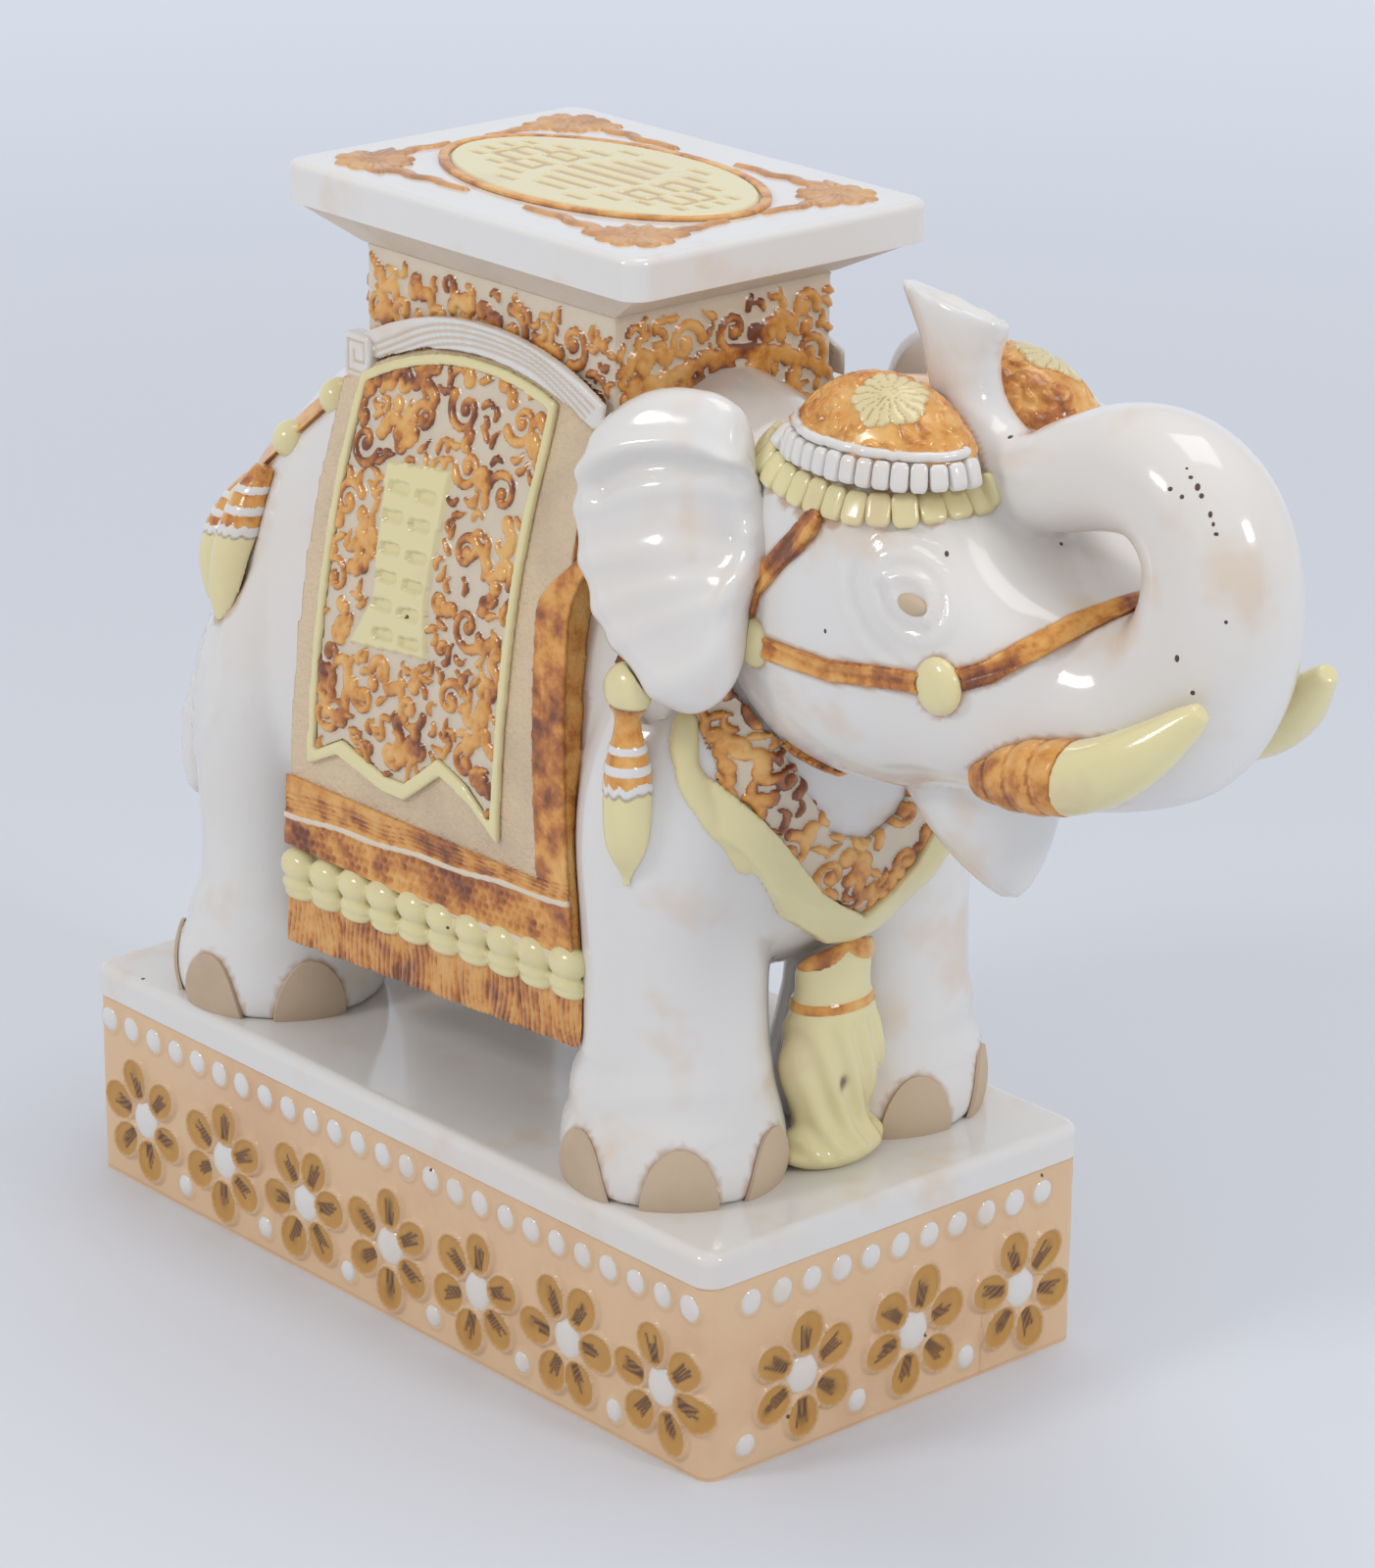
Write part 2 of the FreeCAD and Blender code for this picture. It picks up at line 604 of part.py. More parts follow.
def head_point(along, turn, out=0):
    """A point on the right of the head: share of its length, angle above level, distance out."""
    width, bottom, top = section_at(HEAD_SECTION_SHARES, along)
    low = between(S.jaw_height, S.crown_height, bottom)
    high = between(S.jaw_height, S.crown_height, top)
    waist = between(low, high, HEAD_WAIST_SHARE)
    y, z = section_offset(math.radians(turn), S.head_half_width * width + out, high - waist + out,
                          waist - low + out, HEAD_FULLNESS)
    return V(S.head_rear + S.head_length * along, -y, waist + z)


def body_point(along, turn, out):
    """A point on the right of the body: share of its length, angle above level, distance out."""
    width, bottom, top = section_at(BODY_SECTION_SHARES, along)
    low = between(S.belly_height, S.back_height, bottom)
    high = between(S.belly_height, S.back_height, top)
    waist = between(low, high, BODY_WAIST_SHARE)
    y, z = section_offset(math.radians(turn), S.body_half_width * width + out, high - waist + out,
                          waist - low + out, BODY_FULLNESS)
    return V(S.body_centre - S.body_length / 2 + S.body_length * along, -y, waist + z)


# Legs: round columns that swell into the thigh, each ring (height, forward, inward, radius) as shares.

FRONT_LEG_SHARES = [
    (0.00, 0.00, 0.00, 0.96), (0.04, 0.00, 0.00, 1.00), (0.10, 0.00, 0.00, 0.98),
    (0.17, 0.00, 0.00, 0.90), (0.25, 0.00, 0.00, 0.84), (0.38, 0.00, 0.00, 0.82),
    (0.52, 0.00, 0.00, 0.84), (0.66, 0.00, 0.02, 0.88), (0.80, 0.00, 0.12, 0.88),
    (0.91, -0.05, 0.26, 0.80), (1.00, -0.10, 0.44, 0.62)]
HIND_LEG_SHARES = [
    (0.00, 0.00, 0.00, 0.96), (0.04, 0.00, 0.00, 1.00), (0.10, 0.00, 0.00, 0.98),
    (0.17, 0.00, 0.00, 0.87), (0.25, 0.00, 0.00, 0.77), (0.36, 0.00, 0.00, 0.75),
    (0.47, 0.02, 0.00, 0.79), (0.60, 0.06, 0.02, 0.84), (0.74, 0.14, 0.12, 0.84),
    (0.88, 0.26, 0.28, 0.76), (1.00, 0.40, 0.48, 0.58)]


def leg_form(end, side, shares, grow):
    """One leg: end is +1 at the front, side is +1 on the left."""
    centre = V(end * S.feet_length / 2, side * S.feet_width / 2, 0)
    wires = []
    for height, forward, inward, radius in shares:
        middle = V(centre.x + forward * S.foot_radius,
                   centre.y - side * inward * S.foot_radius, S.slab_top + height * S.leg_height)
        wires.append(Part.Wire([Part.makeCircle(radius * S.foot_radius + grow, middle, UP)]))
    return Part.makeLoft(wires, True, False)


LEGS = {"front_right": (1, -1, FRONT_LEG_SHARES), "front_left": (1, 1, FRONT_LEG_SHARES),
        "hind_right": (-1, -1, HIND_LEG_SHARES), "hind_left": (-1, 1, HIND_LEG_SHARES)}
FRONT_NAIL_TURNS = (-98, -38, 20)
HIND_NAIL_TURNS = (-140, -82, -22)

body_outside = body_form(0)
head_outside = head_form(0)
leg_outsides = {name: leg_form(end, side, shares, 0) for name, (end, side, shares) in LEGS.items()}


def upright_vent(x, y, low, high):
    return Part.makeCylinder(S.vent_radius, high - low, V(x, y, low), UP)


def body_shell():
    """The hollow barrel, with an air hole into each leg and one into the head."""
    shell = body_outside.cut(body_form(-S.wall))
    for end, side, _ in LEGS.values():
        shell = shell.cut(upright_vent(end * S.feet_length / 2 * 0.94, side * S.feet_width / 2 * 0.8,
                                       S.slab_top, S.belly_height + S.wall * 5))
    neck = Part.makeCylinder(S.vent_radius, S.wall * 6,
                             V(S.head_rear + S.head_length * 0.1, 0, between(S.jaw_height, S.crown_height, 0.4)),
                             FORWARD)
    return keep("body_shell", feature("body_shell", largest(shell.cut(neck))))


def legs():
    for name, (end, side, _) in LEGS.items():
        bore = Part.makeCylinder(S.leg_bore, S.leg_height, V(end * S.feet_length / 2, side * S.feet_width / 2,
                                                              S.slab_top - S.overrun), UP)
        leg = less(leg_outsides[name], body_outside, bore)
        keep("leg_" + name, feature("leg_" + name, leg))


def nail_prism():
    """An oval prism along +X, its lower half below the slab."""
    oval = Part.Ellipse(CENTRE, S.nail_height, S.nail_width / 2)
    prism = Part.Face(Part.Wire([oval.toShape()])).extrude(V(0, 0, S.foot_radius + S.overrun))
    prism.rotate(CENTRE, SIDEWAYS, 90)
    above = Part.makeBox(S.foot_radius * 2, S.nail_width, S.nail_height * 2, V(0, -S.nail_width / 2, 0))
    return prism.common(above)


def toenails():
    """Three bare clay nails on each foot, laid on its curve."""
    for end, turns in (("front", FRONT_NAIL_TURNS), ("hind", HIND_NAIL_TURNS)):
        leg = end + "_right"
        forward, side, shares = LEGS[leg]
        skin = leg_form(forward, side, shares, S.nail_rise)
        nails = []
        for turn in turns:
            prism = nail_prism()
            prism.rotate(CENTRE, UP, turn)
            prism.translate(V(forward * S.feet_length / 2, side * S.feet_width / 2, S.slab_top))
            nails.append(less(skin.common(prism), leg_outsides[leg]))
        both("toenails_" + end, nails)


# The trunk: rings along a curl in the middle plane, each (forward, up, radius, width to depth) as shares.

TRUNK_SHARES = [
    (-0.95, 0.03, 1.04, 1.10), (-0.40, 0.02, 1.03, 1.10), (0.09, 0.00, 1.00, 1.08),
    (0.55, 0.04, 0.92, 1.04), (0.90, 0.13, 0.82, 1.00), (1.09, 0.28, 0.74, 1.00),
    (1.12, 0.44, 0.69, 1.00), (1.00, 0.58, 0.66, 1.00), (0.72, 0.67, 0.63, 1.00),
    (0.38, 0.69, 0.59, 1.00), (0.00, 0.66, 0.54, 1.00), (-0.40, 0.60, 0.49, 1.00),
    (-0.78, 0.56, 0.43, 1.00), (-1.14, 0.62, 0.36, 1.00), (-1.36, 0.74, 0.32, 1.00),
    (-1.43, 0.88, 0.38, 0.85), (-1.49, 0.99, 0.56, 0.62), (-1.51, 1.04, 0.65, 0.52)]
TRUNK_BORE_RINGS = 12


def trunk_centre(ring):
    return V(S.trunk_root_x + S.trunk_reach * ring[0], 0, S.trunk_root_z + S.trunk_rise * ring[1])


def trunk_form(grow, rings):
    wires = []
    for number in range(rings):
        ring = TRUNK_SHARES[number]
        before = trunk_centre(TRUNK_SHARES[max(number - 1, 0)])
        after = trunk_centre(TRUNK_SHARES[min(number + 1, len(TRUNK_SHARES) - 1)])
        run = (after - before).normalize()
        inward = V(run.z, 0, -run.x)
        radius = S.trunk_radius * ring[2] + grow
        across = S.trunk_radius * ring[2] * ring[3] + grow
        points = []
        for step in range(SECTION_POINTS):
            angle = 2 * math.pi * step / SECTION_POINTS
            points.append(trunk_centre(ring) + inward * (radius * math.cos(angle))
                          + SIDEWAYS * (across * math.sin(angle)))
        wires.append(smooth_loop(points))
    return Part.makeLoft(wires, True, False)


trunk_outside = trunk_form(0, len(TRUNK_SHARES))


def trunk():
    """The curled trunk, hollow as far as its last bend, with a dish in its end."""
    bore = trunk_form(-S.wall, TRUNK_BORE_RINGS)
    radius, across = TRUNK_SHARES[-1][2:]
    dish = ellipsoid(S.trunk_radius * radius * 0.8, S.trunk_radius * radius * across * 0.8, S.nostril_depth,
                     trunk_centre(TRUNK_SHARES[-1]))
    keep("trunk", feature("trunk", less(trunk_outside, head_outside, bore, dish)))


def head_shell():
    inside = head_form(-S.wall).cut(body_form(S.wall / 2))
    vent = Part.makeCylinder(S.vent_radius, S.head_length,
                             V(S.head_rear, 0, between(S.jaw_height, S.crown_height, 0.4)), FORWARD)
    shell = less(head_outside, body_outside, inside, vent)
    keep("head_shell", feature("head_shell", shell))


LIP_SHARES = [(0.00, 1.00, 0.92, 0.00), (0.30, 0.92, 0.80, 0.10), (0.60, 0.72, 0.58, 0.28),
              (0.85, 0.42, 0.34, 0.46), (1.00, 0.16, 0.14, 0.56)]
LIP_DEPTH_SHARE = 1.35


def lower_lip():
    """A pointed tongue of clay under the jaw; each ring is (drop, width, depth, forward) as shares."""
    wires = []
    for drop, width, depth, forward in LIP_SHARES:
        z = S.lip_top - S.lip_drop * drop
        x = S.lip_x + S.lip_half_width * forward
        points = []
        for step in range(SECTION_POINTS):
            angle = 2 * math.pi * step / SECTION_POINTS
            points.append(V(x + S.lip_half_width * LIP_DEPTH_SHARE * depth * math.cos(angle),
                            S.lip_half_width * width * math.sin(angle), z))
        wires.append(smooth_loop(points))
    lip = Part.makeLoft(wires, True, False)
    keep("lower_lip", feature("lower_lip", less(lip, head_outside)))


TUSK_SHARES = [(0.00, 1.00, 0.00, 0.62), (0.16, 1.00, 0.08, 0.92), (0.34, 1.00, 0.17, 1.03),
               (0.54, 0.98, 0.29, 0.98), (0.74, 0.93, 0.52, 0.85), (0.90, 0.82, 0.80, 0.58),
               (1.00, 0.74, 1.00, 0.28)]
CUFF_SHARE = 0.47


def tusks():
    """A tusk in its ringed cuff; each ring is (forward, outward, up, radius) as shares."""
    stations = [(V(S.tusk_start_x + S.tusk_length * forward, -S.tusk_start_y * outward,
                   S.tusk_start_z + S.tusk_lift * rise), S.tusk_radius * radius)
                for forward, outward, rise, radius in TUSK_SHARES]
    horn = less(tube(stations), head_outside, trunk_outside)
    middle = S.tusk_start_x + S.tusk_length * CUFF_SHARE
    reach = S.tusk_length * 2
    behind = Part.makeBox(reach, reach * 2, reach * 2, V(middle - reach, -reach, S.tusk_start_z - reach))
    pair("tusk_cuff", largest(horn.common(behind)))
    pair("tusk", largest(horn.cut(behind)))


EYE_TURN = 25


def eyes():
    place = head_point((S.eye_x - S.head_rear) / S.head_length, EYE_TURN, 0)
    lens = ellipsoid(S.eye_length / 2, S.eye_rise * 2, S.eye_height / 2, V(S.eye_x, place.y, S.eye_z))
    both("eyes", [less(lens, head_outside)])


# Ears: thick flaps through three outlines, (along, up) as shares of the ear's size.

EAR_OUTLINE_SHARES = [
    (0.26, 1.00), (0.49, 1.00), (0.73, 0.95), (0.92, 0.83), (1.00, 0.67), (0.97, 0.49),
    (0.86, 0.32), (0.72, 0.18), (0.56, 0.09), (0.40, 0.01), (0.19, 0.00), (0.05, 0.08),
    (0.00, 0.25), (0.04, 0.43), (0.13, 0.65), (0.20, 0.86)]
EAR_LAYER_SHARES = [(-0.5, 0.72), (-0.36, 0.92), (0.0, 1.00), (0.36, 0.92), (0.5, 0.72)]


def ear():
    middle_x, middle_z = 0.5, 0.5
    wires = []
    for depth, spread in EAR_LAYER_SHARES:
        wires.append(smooth_loop([
            V(-S.ear_length * between(middle_x, along, spread), -S.ear_thickness * depth,
              S.ear_height * between(middle_z, up, spread)) for along, up in EAR_OUTLINE_SHARES]))
    flap = Part.makeLoft(wires, True, False)
    flap.rotate(CENTRE, UP, S.ear_flare)
    flap.rotate(V(0, 0, S.ear_height / 2), FORWARD, -S.ear_lean)
    flap.translate(V(S.ear_root_x, -S.ear_root_y - S.ear_thickness / 2, S.ear_low))
    return flap


ear_outside = ear()


def ears():
    pair("ear", less(ear_outside, head_outside, body_outside, leg_outsides["front_right"]))


TAIL_SHARES = [(0.00, 0.00, 0.00, 1.00), (0.06, -0.02, 0.14, 0.90), (0.10, -0.11, 0.36, 0.82),
               (0.10, -0.23, 0.55, 0.82), (0.08, -0.33, 0.73, 1.15), (0.05, -0.39, 0.87, 1.10),
               (0.01, -0.43, 1.00, 0.45)]


TAIL_ROOT_SHARE = 0.63


def tail():
    """The tail hangs behind the rump and ends in a tuft that lies towards the right thigh."""
    rear = S.body_centre - S.body_length / 2
    top = between(S.belly_height, S.back_height, TAIL_ROOT_SHARE)
    stations = [(V(rear - S.tail_length * back, S.tail_length * across, top - S.tail_length * drop),
                 S.tail_radius * radius) for back, across, drop, radius in TAIL_SHARES]
    stock = tube(stations)
    keep("tail", feature("tail", less(stock, body_outside, leg_outsides["hind_right"], leg_outsides["hind_left"])))
    return stock


# The seat: pillar, corbel, slab and its raised ornament.

def part_box(name, length, width, height, x, y, z):
    box = doc.addObject("Part::Box", name)
    box.setExpression("Length", length)
    box.setExpression("Width", width)
    box.setExpression("Height", height)
    box.setExpression("Placement.Base.x", x)
    box.setExpression("Placement.Base.y", y)
    box.setExpression("Placement.Base.z", z)
    return box


def part_cut(name, base, tool):
    result = doc.addObject("Part::Cut", name)
    result.Base = base
    result.Tool = tool
    result.Refine = False
    return result


def seat_pillar():
    """A square tube of clay that stands on the back, fitted to its curve."""
    outside = part_box("pillar_block", "Sizes.pillar_length", "Sizes.pillar_width", "Sizes.pillar_depth",
                       "Sizes.pillar_centre - Sizes.pillar_length / 2", "-Sizes.pillar_width / 2",
                       "Sizes.pillar_top - Sizes.pillar_depth")
    inside = part_box("pillar_hollow", "Sizes.pillar_length - 2 * Sizes.wall",
                      "Sizes.pillar_width - 2 * Sizes.wall", "Sizes.pillar_depth + 2 * Sizes.overrun",
                      "Sizes.pillar_centre - Sizes.pillar_length / 2 + Sizes.wall",
                      "-Sizes.pillar_width / 2 + Sizes.wall",
                      "Sizes.pillar_top - Sizes.pillar_depth - Sizes.overrun")
    ring = part_cut("pillar_ring", outside, inside)
    back = feature("pillar_seat", body_outside)
    return keep("seat_pillar", part_cut("seat_pillar", ring, back))


def seat_corbel():
    body = doc.addObject("PartDesign::Body", "seat_corbel")
    lower = sketch_on(body, "corbel_foot")
    centred_rectangle(lower, "Sizes.pillar_length", "Sizes.pillar_width")
    upper = sketch_on(body, "corbel_head", "Sizes.corbel_height")
    centred_rectangle(upper, "Sizes.seat_length - 2 * Sizes.corbel_inset",
                      "Sizes.seat_width - 2 * Sizes.corbel_inset")
    upper.setExpression("AttachmentOffset.Base.x", "Sizes.seat_centre - Sizes.pillar_centre")
    doc.recompute()
    loft = body.newObject("PartDesign::AdditiveLoft", "Loft")
    loft.Profile = lower
    loft.Sections = [upper]
    loft.Ruled = True
    body.setExpression("Placement.Base.x", "Sizes.pillar_centre")
    body.setExpression("Placement.Base.z", "Sizes.pillar_top")
    doc.recompute()
    return keep("seat_corbel", body)


def seat_slab():
    body = doc.addObject("PartDesign::Body", "seat_slab")
    outline = sketch_on(body, "seat_outline")
    centred_rectangle(outline, "Sizes.seat_length", "Sizes.seat_width")
    block = pad(body, outline, "Sizes.seat_thickness")
    rounded = fillet(body, block, upright, "Sizes.seat_corner")
    fillet(body, rounded, highest(rounded), "Sizes.seat_edge")
    body.setExpression("Placement.Base.x", "Sizes.seat_centre")
    body.setExpression("Placement.Base.z", "Sizes.pillar_top + Sizes.corbel_height")
    return keep("seat_slab", body)


def oval_plate(half_length, half_width):
    oval = Part.Ellipse(CENTRE, half_length, half_width)
    plate = Part.Face(Part.Wire([oval.toShape()])).extrude(V(0, 0, S.relief))
    plate.translate(V(S.seat_centre, 0, S.seat_top))
    return plate


# Bars of the generic fretwork: (middle x, middle y, length, along X?) as shares of the oval.

FRET_SHARES = [
    (0.00, 0.00, 1.44, False), (0.20, 0.00, 1.16, False), (-0.20, 0.00, 1.16, False),
    (0.40, 0.00, 0.62, False), (-0.40, 0.00, 0.62, False), (0.00, 0.58, 0.70, True),
    (0.00, -0.58, 0.70, True), (0.56, 0.30, 0.36, True), (0.56, -0.30, 0.36, True),
    (-0.56, 0.30, 0.36, True), (-0.56, -0.30, 0.36, True), (0.70, 0.00, 0.34, False),
    (-0.70, 0.00, 0.34, False), (0.00, 0.00, 0.76, True)]


def seat_medallion():
    step = S.ring_width
    rim = oval_plate(S.medallion_half_length - step, S.medallion_half_width - step)
    inner_length = S.medallion_half_length - 2 * step
    inner_width = S.medallion_half_width - 2 * step
    keep("medallion_ring", feature("medallion_ring",
                                   oval_plate(S.medallion_half_length, S.medallion_half_width).cut(rim)))
    rim = rim.cut(oval_plate(inner_length, inner_width))
    bars = []
    for x, y, length, lengthwise in FRET_SHARES:
        middle = V(S.seat_centre + x * inner_length, y * inner_width, S.seat_top)
        if lengthwise:
            bars.append(bar(length * inner_length, S.fret_width, S.relief, middle))
        else:
            bars.append(bar(S.fret_width, length * inner_width, S.relief, middle))
    fret = bars[0].fuse(bars[1:]).removeSplitter()
    keep("medallion_fret", feature("medallion_fret", group(rim.Solids + fret.Solids)))


SPRAY_TURNS = (-70, -35, 0, 35, 70)
SPRAY_ARM_SHARES = [(0.86, 0.80), (0.66, 0.86), (0.52, 0.78), (0.40, 0.84), (0.30, 0.80)]
SPRAY_SIDE_ARM_SHARES = [(0.86, 0.80), (0.93, 0.60), (0.84, 0.50), (0.90, 0.36), (0.88, 0.24)]


def corner_sprays():
    """A fan of leaves in each corner of the seat, with two thin bracket arms."""
    sprays = []
    half_length = S.seat_length / 2 - S.seat_edge
    half_width = S.seat_width / 2 - S.seat_edge
    for side_x in (1, -1):
        for side_y in (1, -1):
            pieces = []
            root = V(half_length * 0.84, half_width * 0.78, 0)
            for turn in SPRAY_TURNS:
                oval = Part.Ellipse(CENTRE, S.leaf_length / 2, S.leaf_width / 2)
                leaf = Part.Face(Part.Wire([oval.toShape()])).extrude(V(0, 0, S.relief))
                leaf.translate(V(S.leaf_length * 0.42, 0, 0))
                leaf.rotate(CENTRE, UP, turn + 215)
                leaf.translate(root)
                pieces.append(leaf)
            for arm in (SPRAY_ARM_SHARES, SPRAY_SIDE_ARM_SHARES):
                points = [V(half_length * x, half_width * y, 0) for x, y in arm]
                for start, end in zip(points, points[1:]):
                    run = end - start
                    side = V(-run.y, run.x, 0).normalize() * (S.leaf_width / 6)
                    corners = [start + side, end + side, end - side, start - side]
                    face = Part.Face(Part.makePolygon(corners + corners[:1]))
                    pieces.append(face.extrude(V(0, 0, S.relief)))
            spray = pieces[0].fuse(pieces[1:]).removeSplitter()
            matrix = FreeCAD.Matrix()
            matrix.scale(side_x, side_y, 1)
            spray = spray.transformGeometry(matrix)
            spray.translate(V(S.seat_centre, 0, S.seat_top))
            sprays.append(largest(spray))
    keep("corner_sprays", feature("corner_sprays", group(sprays)))


# The saddle cloth: every layer is the same hanging profile, moved out and trimmed to its outline.

CLOTH_CURVE_SHARES = [(1.00, 0.00), (0.933, 0.22), (0.767, 0.45), (0.433, 0.70), (0.133, 0.86), (0.00, 1.00)]
CLOTH_ROOT_SHARE = 0.5


def cloth_stock(out):
    """The hanging profile as a solid, its outer face moved out from the middle plane."""
    top = S.arch_crown
    curve_points = [V(0, -between(S.cloth_top_y, S.cloth_reach, share) - out,
                      between(S.cloth_bend, top, rise)) for share, rise in CLOTH_CURVE_SHARES]
    curve = Part.BSplineCurve()
    curve.interpolate(Points=curve_points)
    foot = V(0, -S.cloth_reach - out, S.cloth_bottom)
    inner = -(S.cloth_reach - S.cloth_thickness)
    root = -S.cloth_top_y * CLOTH_ROOT_SHARE
    belly = between(S.belly_height, S.back_height, BODY_WAIST_SHARE)
    rest = [foot, V(0, inner, S.cloth_bottom), V(0, inner, belly), V(0, root, S.cloth_bend + (top - S.cloth_bend) / 2),
            V(0, root, top), curve_points[-1]]
    edges = [curve.toShape(), Part.makeLine(curve_points[0], foot)]
    edges += [Part.makeLine(start, end) for start, end in zip(rest, rest[1:])]
    face = Part.Face(Part.Wire(Part.__sortEdges__(edges)))
    reach = S.body_length
    stock = face.extrude(V(reach, 0, 0))
    stock.translate(V(S.body_centre - reach / 2, 0, 0))
    return stock


def cloth_edge(side, z):
    """The front (+1) or rear (-1) edge of the cloth at a height."""
    share = (z - S.cloth_bottom) / (S.arch_crown - S.cloth_bottom)
    middle = between(S.cloth_centre_low, S.cloth_centre_high, share)
    return middle + side * between(S.cloth_length_low, S.cloth_length_high, share) / 2


def arch_z(radius, x):
    """Height of a circle about the arch's centre."""
    middle = S.arch_crown - S.arch_radius
    return middle + math.sqrt(radius ** 2 - (x - S.arch_centre) ** 2)


def arch_line(radius, start, end, steps=12):
    return [(between(start, end, step / steps), arch_z(radius, between(start, end, step / steps)))
            for step in range(steps + 1)]


cloth_base = cloth_stock(0)
layer_reach = S.cloth_reach + S.overrun * 2


def layer(outline, out, under=cloth_base):
    """A raised plate on the cloth, trimmed to an outline of (x, z) points."""
    plate = side_plate(outline, S.cloth_top_y * CLOTH_ROOT_SHARE, layer_reach)
    return less(cloth_stock(out).common(plate), under)


def cloth_outline(low):
    under_arch = S.arch_radius - S.arch_height
    left = cloth_edge(-1, S.arch_crown - S.arch_height * 2)
    right = cloth_edge(1, S.arch_crown - S.arch_height * 2)
    top = arch_line(under_arch, left, right)
    return [(cloth_edge(-1, low), low)] + top + [(cloth_edge(1, low), low)]


FRAME_LOW_SHARES = [(0.00, 0.00), (0.16, 0.50), (0.40, 0.10), (0.52, 0.10), (0.70, 0.95), (0.86, 0.60), (1.00, 0.00)]


def frame_outline(inset):
    """The pointed outline of the scroll panel, drawn in by the inset all round."""
    left_low = cloth_edge(-1, S.frame_low) + S.side_band * 0.8 + inset
    right_low = cloth_edge(1, S.frame_low) - S.side_band * 2.2 - inset
    left_high = cloth_edge(-1, S.arch_crown) + S.side_band * 0.6 + inset
    right_high = cloth_edge(1, S.arch_crown) - S.side_band * 1.0 - inset
    top = arch_line(S.arch_radius - S.arch_height - S.frame_width / 2 - inset, left_high, right_high)
    points = [(between(left_low, right_low, along), S.frame_low + inset * 1.6 + S.side_band * rise)
              for along, rise in FRAME_LOW_SHARES]
    return points + list(reversed(top))


def saddle_cloth():
    tools = [body_outside, leg_outsides["front_right"], leg_outsides["hind_right"], pillar_block()]
    hem_top = S.cloth_bottom + S.fringe_height + S.head_row_height
    sheet_shape = cloth_base.common(side_plate(cloth_outline(hem_top), S.cloth_top_y * CLOTH_ROOT_SHARE, layer_reach))
    pair("saddle_cloth", less(sheet_shape, *tools))
    outer = layer(frame_outline(0), S.frame_rise)
    inner_prism = side_plate(frame_outline(S.frame_width), S.cloth_top_y * CLOTH_ROOT_SHARE, layer_reach)
    pair("cloth_frame", less(outer, inner_prism))
    pair("scroll_panel", layer(frame_outline(S.frame_width), S.band_rise))
    legs_in_front = [leg_outsides["front_right"], leg_outsides["hind_right"]]
    band_top = hem_top + S.pitted_height + S.groove_height
    upper = S.crown_height - S.ear_height / 2
    side = [(cloth_edge(1, band_top) - S.side_band, band_top), (cloth_edge(1, upper) - S.side_band, upper),
            (cloth_edge(1, upper), upper), (cloth_edge(1, hem_top), hem_top),
            (cloth_edge(-1, hem_top), hem_top), (cloth_edge(-1, band_top), band_top)]
    pair("cloth_border", less(layer(side, S.band_rise), *legs_in_front))
    fringe_top = S.cloth_bottom + S.fringe_height
    skirt = [(cloth_edge(-1, S.cloth_bottom), S.cloth_bottom), (cloth_edge(-1, fringe_top), fringe_top),
             (cloth_edge(1, fringe_top), fringe_top), (cloth_edge(1, S.cloth_bottom), S.cloth_bottom)]
    hanging = cloth_stock(0).common(side_plate(skirt, S.cloth_top_y, layer_reach))
    pair("fringe", less(hanging, body_outside, *legs_in_front))


def tassel_heads():
    """A row of round heads between the pitted band and the fringe."""
    count = int(round(S.tassel_count))
    low = S.cloth_bottom + S.fringe_height
    middle = low + S.head_row_height / 2
    start, end = cloth_edge(-1, middle), cloth_edge(1, middle)
    pitch = (end - start) / count
    inner = S.cloth_reach - S.cloth_thickness
    heads = []
    for step in range(count):
        x = start + pitch * (step + 0.5)
        head = ellipsoid(pitch / 2, S.cloth_thickness + S.band_rise, S.head_row_height / 2, V(x, -inner, middle))
        block = Part.makeBox(pitch, S.cloth_thickness * 2 + S.band_rise, S.head_row_height,
                             V(x - pitch / 2, -inner - S.cloth_thickness * 2 - S.band_rise, low))
        heads.append(less(head.common(block), body_outside, leg_outsides["front_right"], leg_outsides["hind_right"]))
    both("tassel_heads", heads)


def pillar_block():
    return Part.makeBox(S.pillar_length, S.pillar_width, S.pillar_depth,
                        V(S.pillar_centre - S.pillar_length / 2, -S.pillar_width / 2, S.pillar_top - S.pillar_depth))


def arch_stock():
    left = cloth_edge(-1, S.arch_crown - S.arch_height * 2)
    right = S.pillar_centre + S.pillar_length / 2
    outline = arch_line(S.arch_radius, left, right) + list(
        reversed(arch_line(S.arch_radius - S.arch_height, left, right)))
    return side_plate(outline, S.pillar_width / 2, S.pillar_width / 2 + S.arch_rise)


def arch_moulding():
    """The white arch that frames the top of the cloth on each flank."""
    pair("arch_moulding", less(layer_pillar_arch, body_outside, cloth_base, ear_outside))


# Dress of the head: brow cloth, beads, bridle and bosses.

BROW_FLOOR_SHARE = 0.905


def brow_skirt():
    """The thin layer of the brow cloth on the right half of the crown, before its dome is added."""
    start = S.dome_x - S.dome_half_length
    floor = between(S.jaw_height, S.crown_height, BROW_FLOOR_SHARE)
    half = Part.makeBox(S.dome_half_length * 2, S.head_half_width * 2, S.crown_height,
                        V(start, -S.head_half_width * 2, floor))
    bump = ellipsoid(S.dome_half_length, S.dome_half_width, S.dome_half_height,
                     V(S.dome_x, -S.dome_y, S.dome_top - S.dome_half_height))
    return head_form(S.brow_rise).fuse(bump).common(half)


def brow_cloth():
    """Two domes on a thin layer over the crown, open in the middle for the trunk."""
    pair("brow_cloth", less(brow_stock, head_outside, body_outside, trunk_outside, ear_outside))


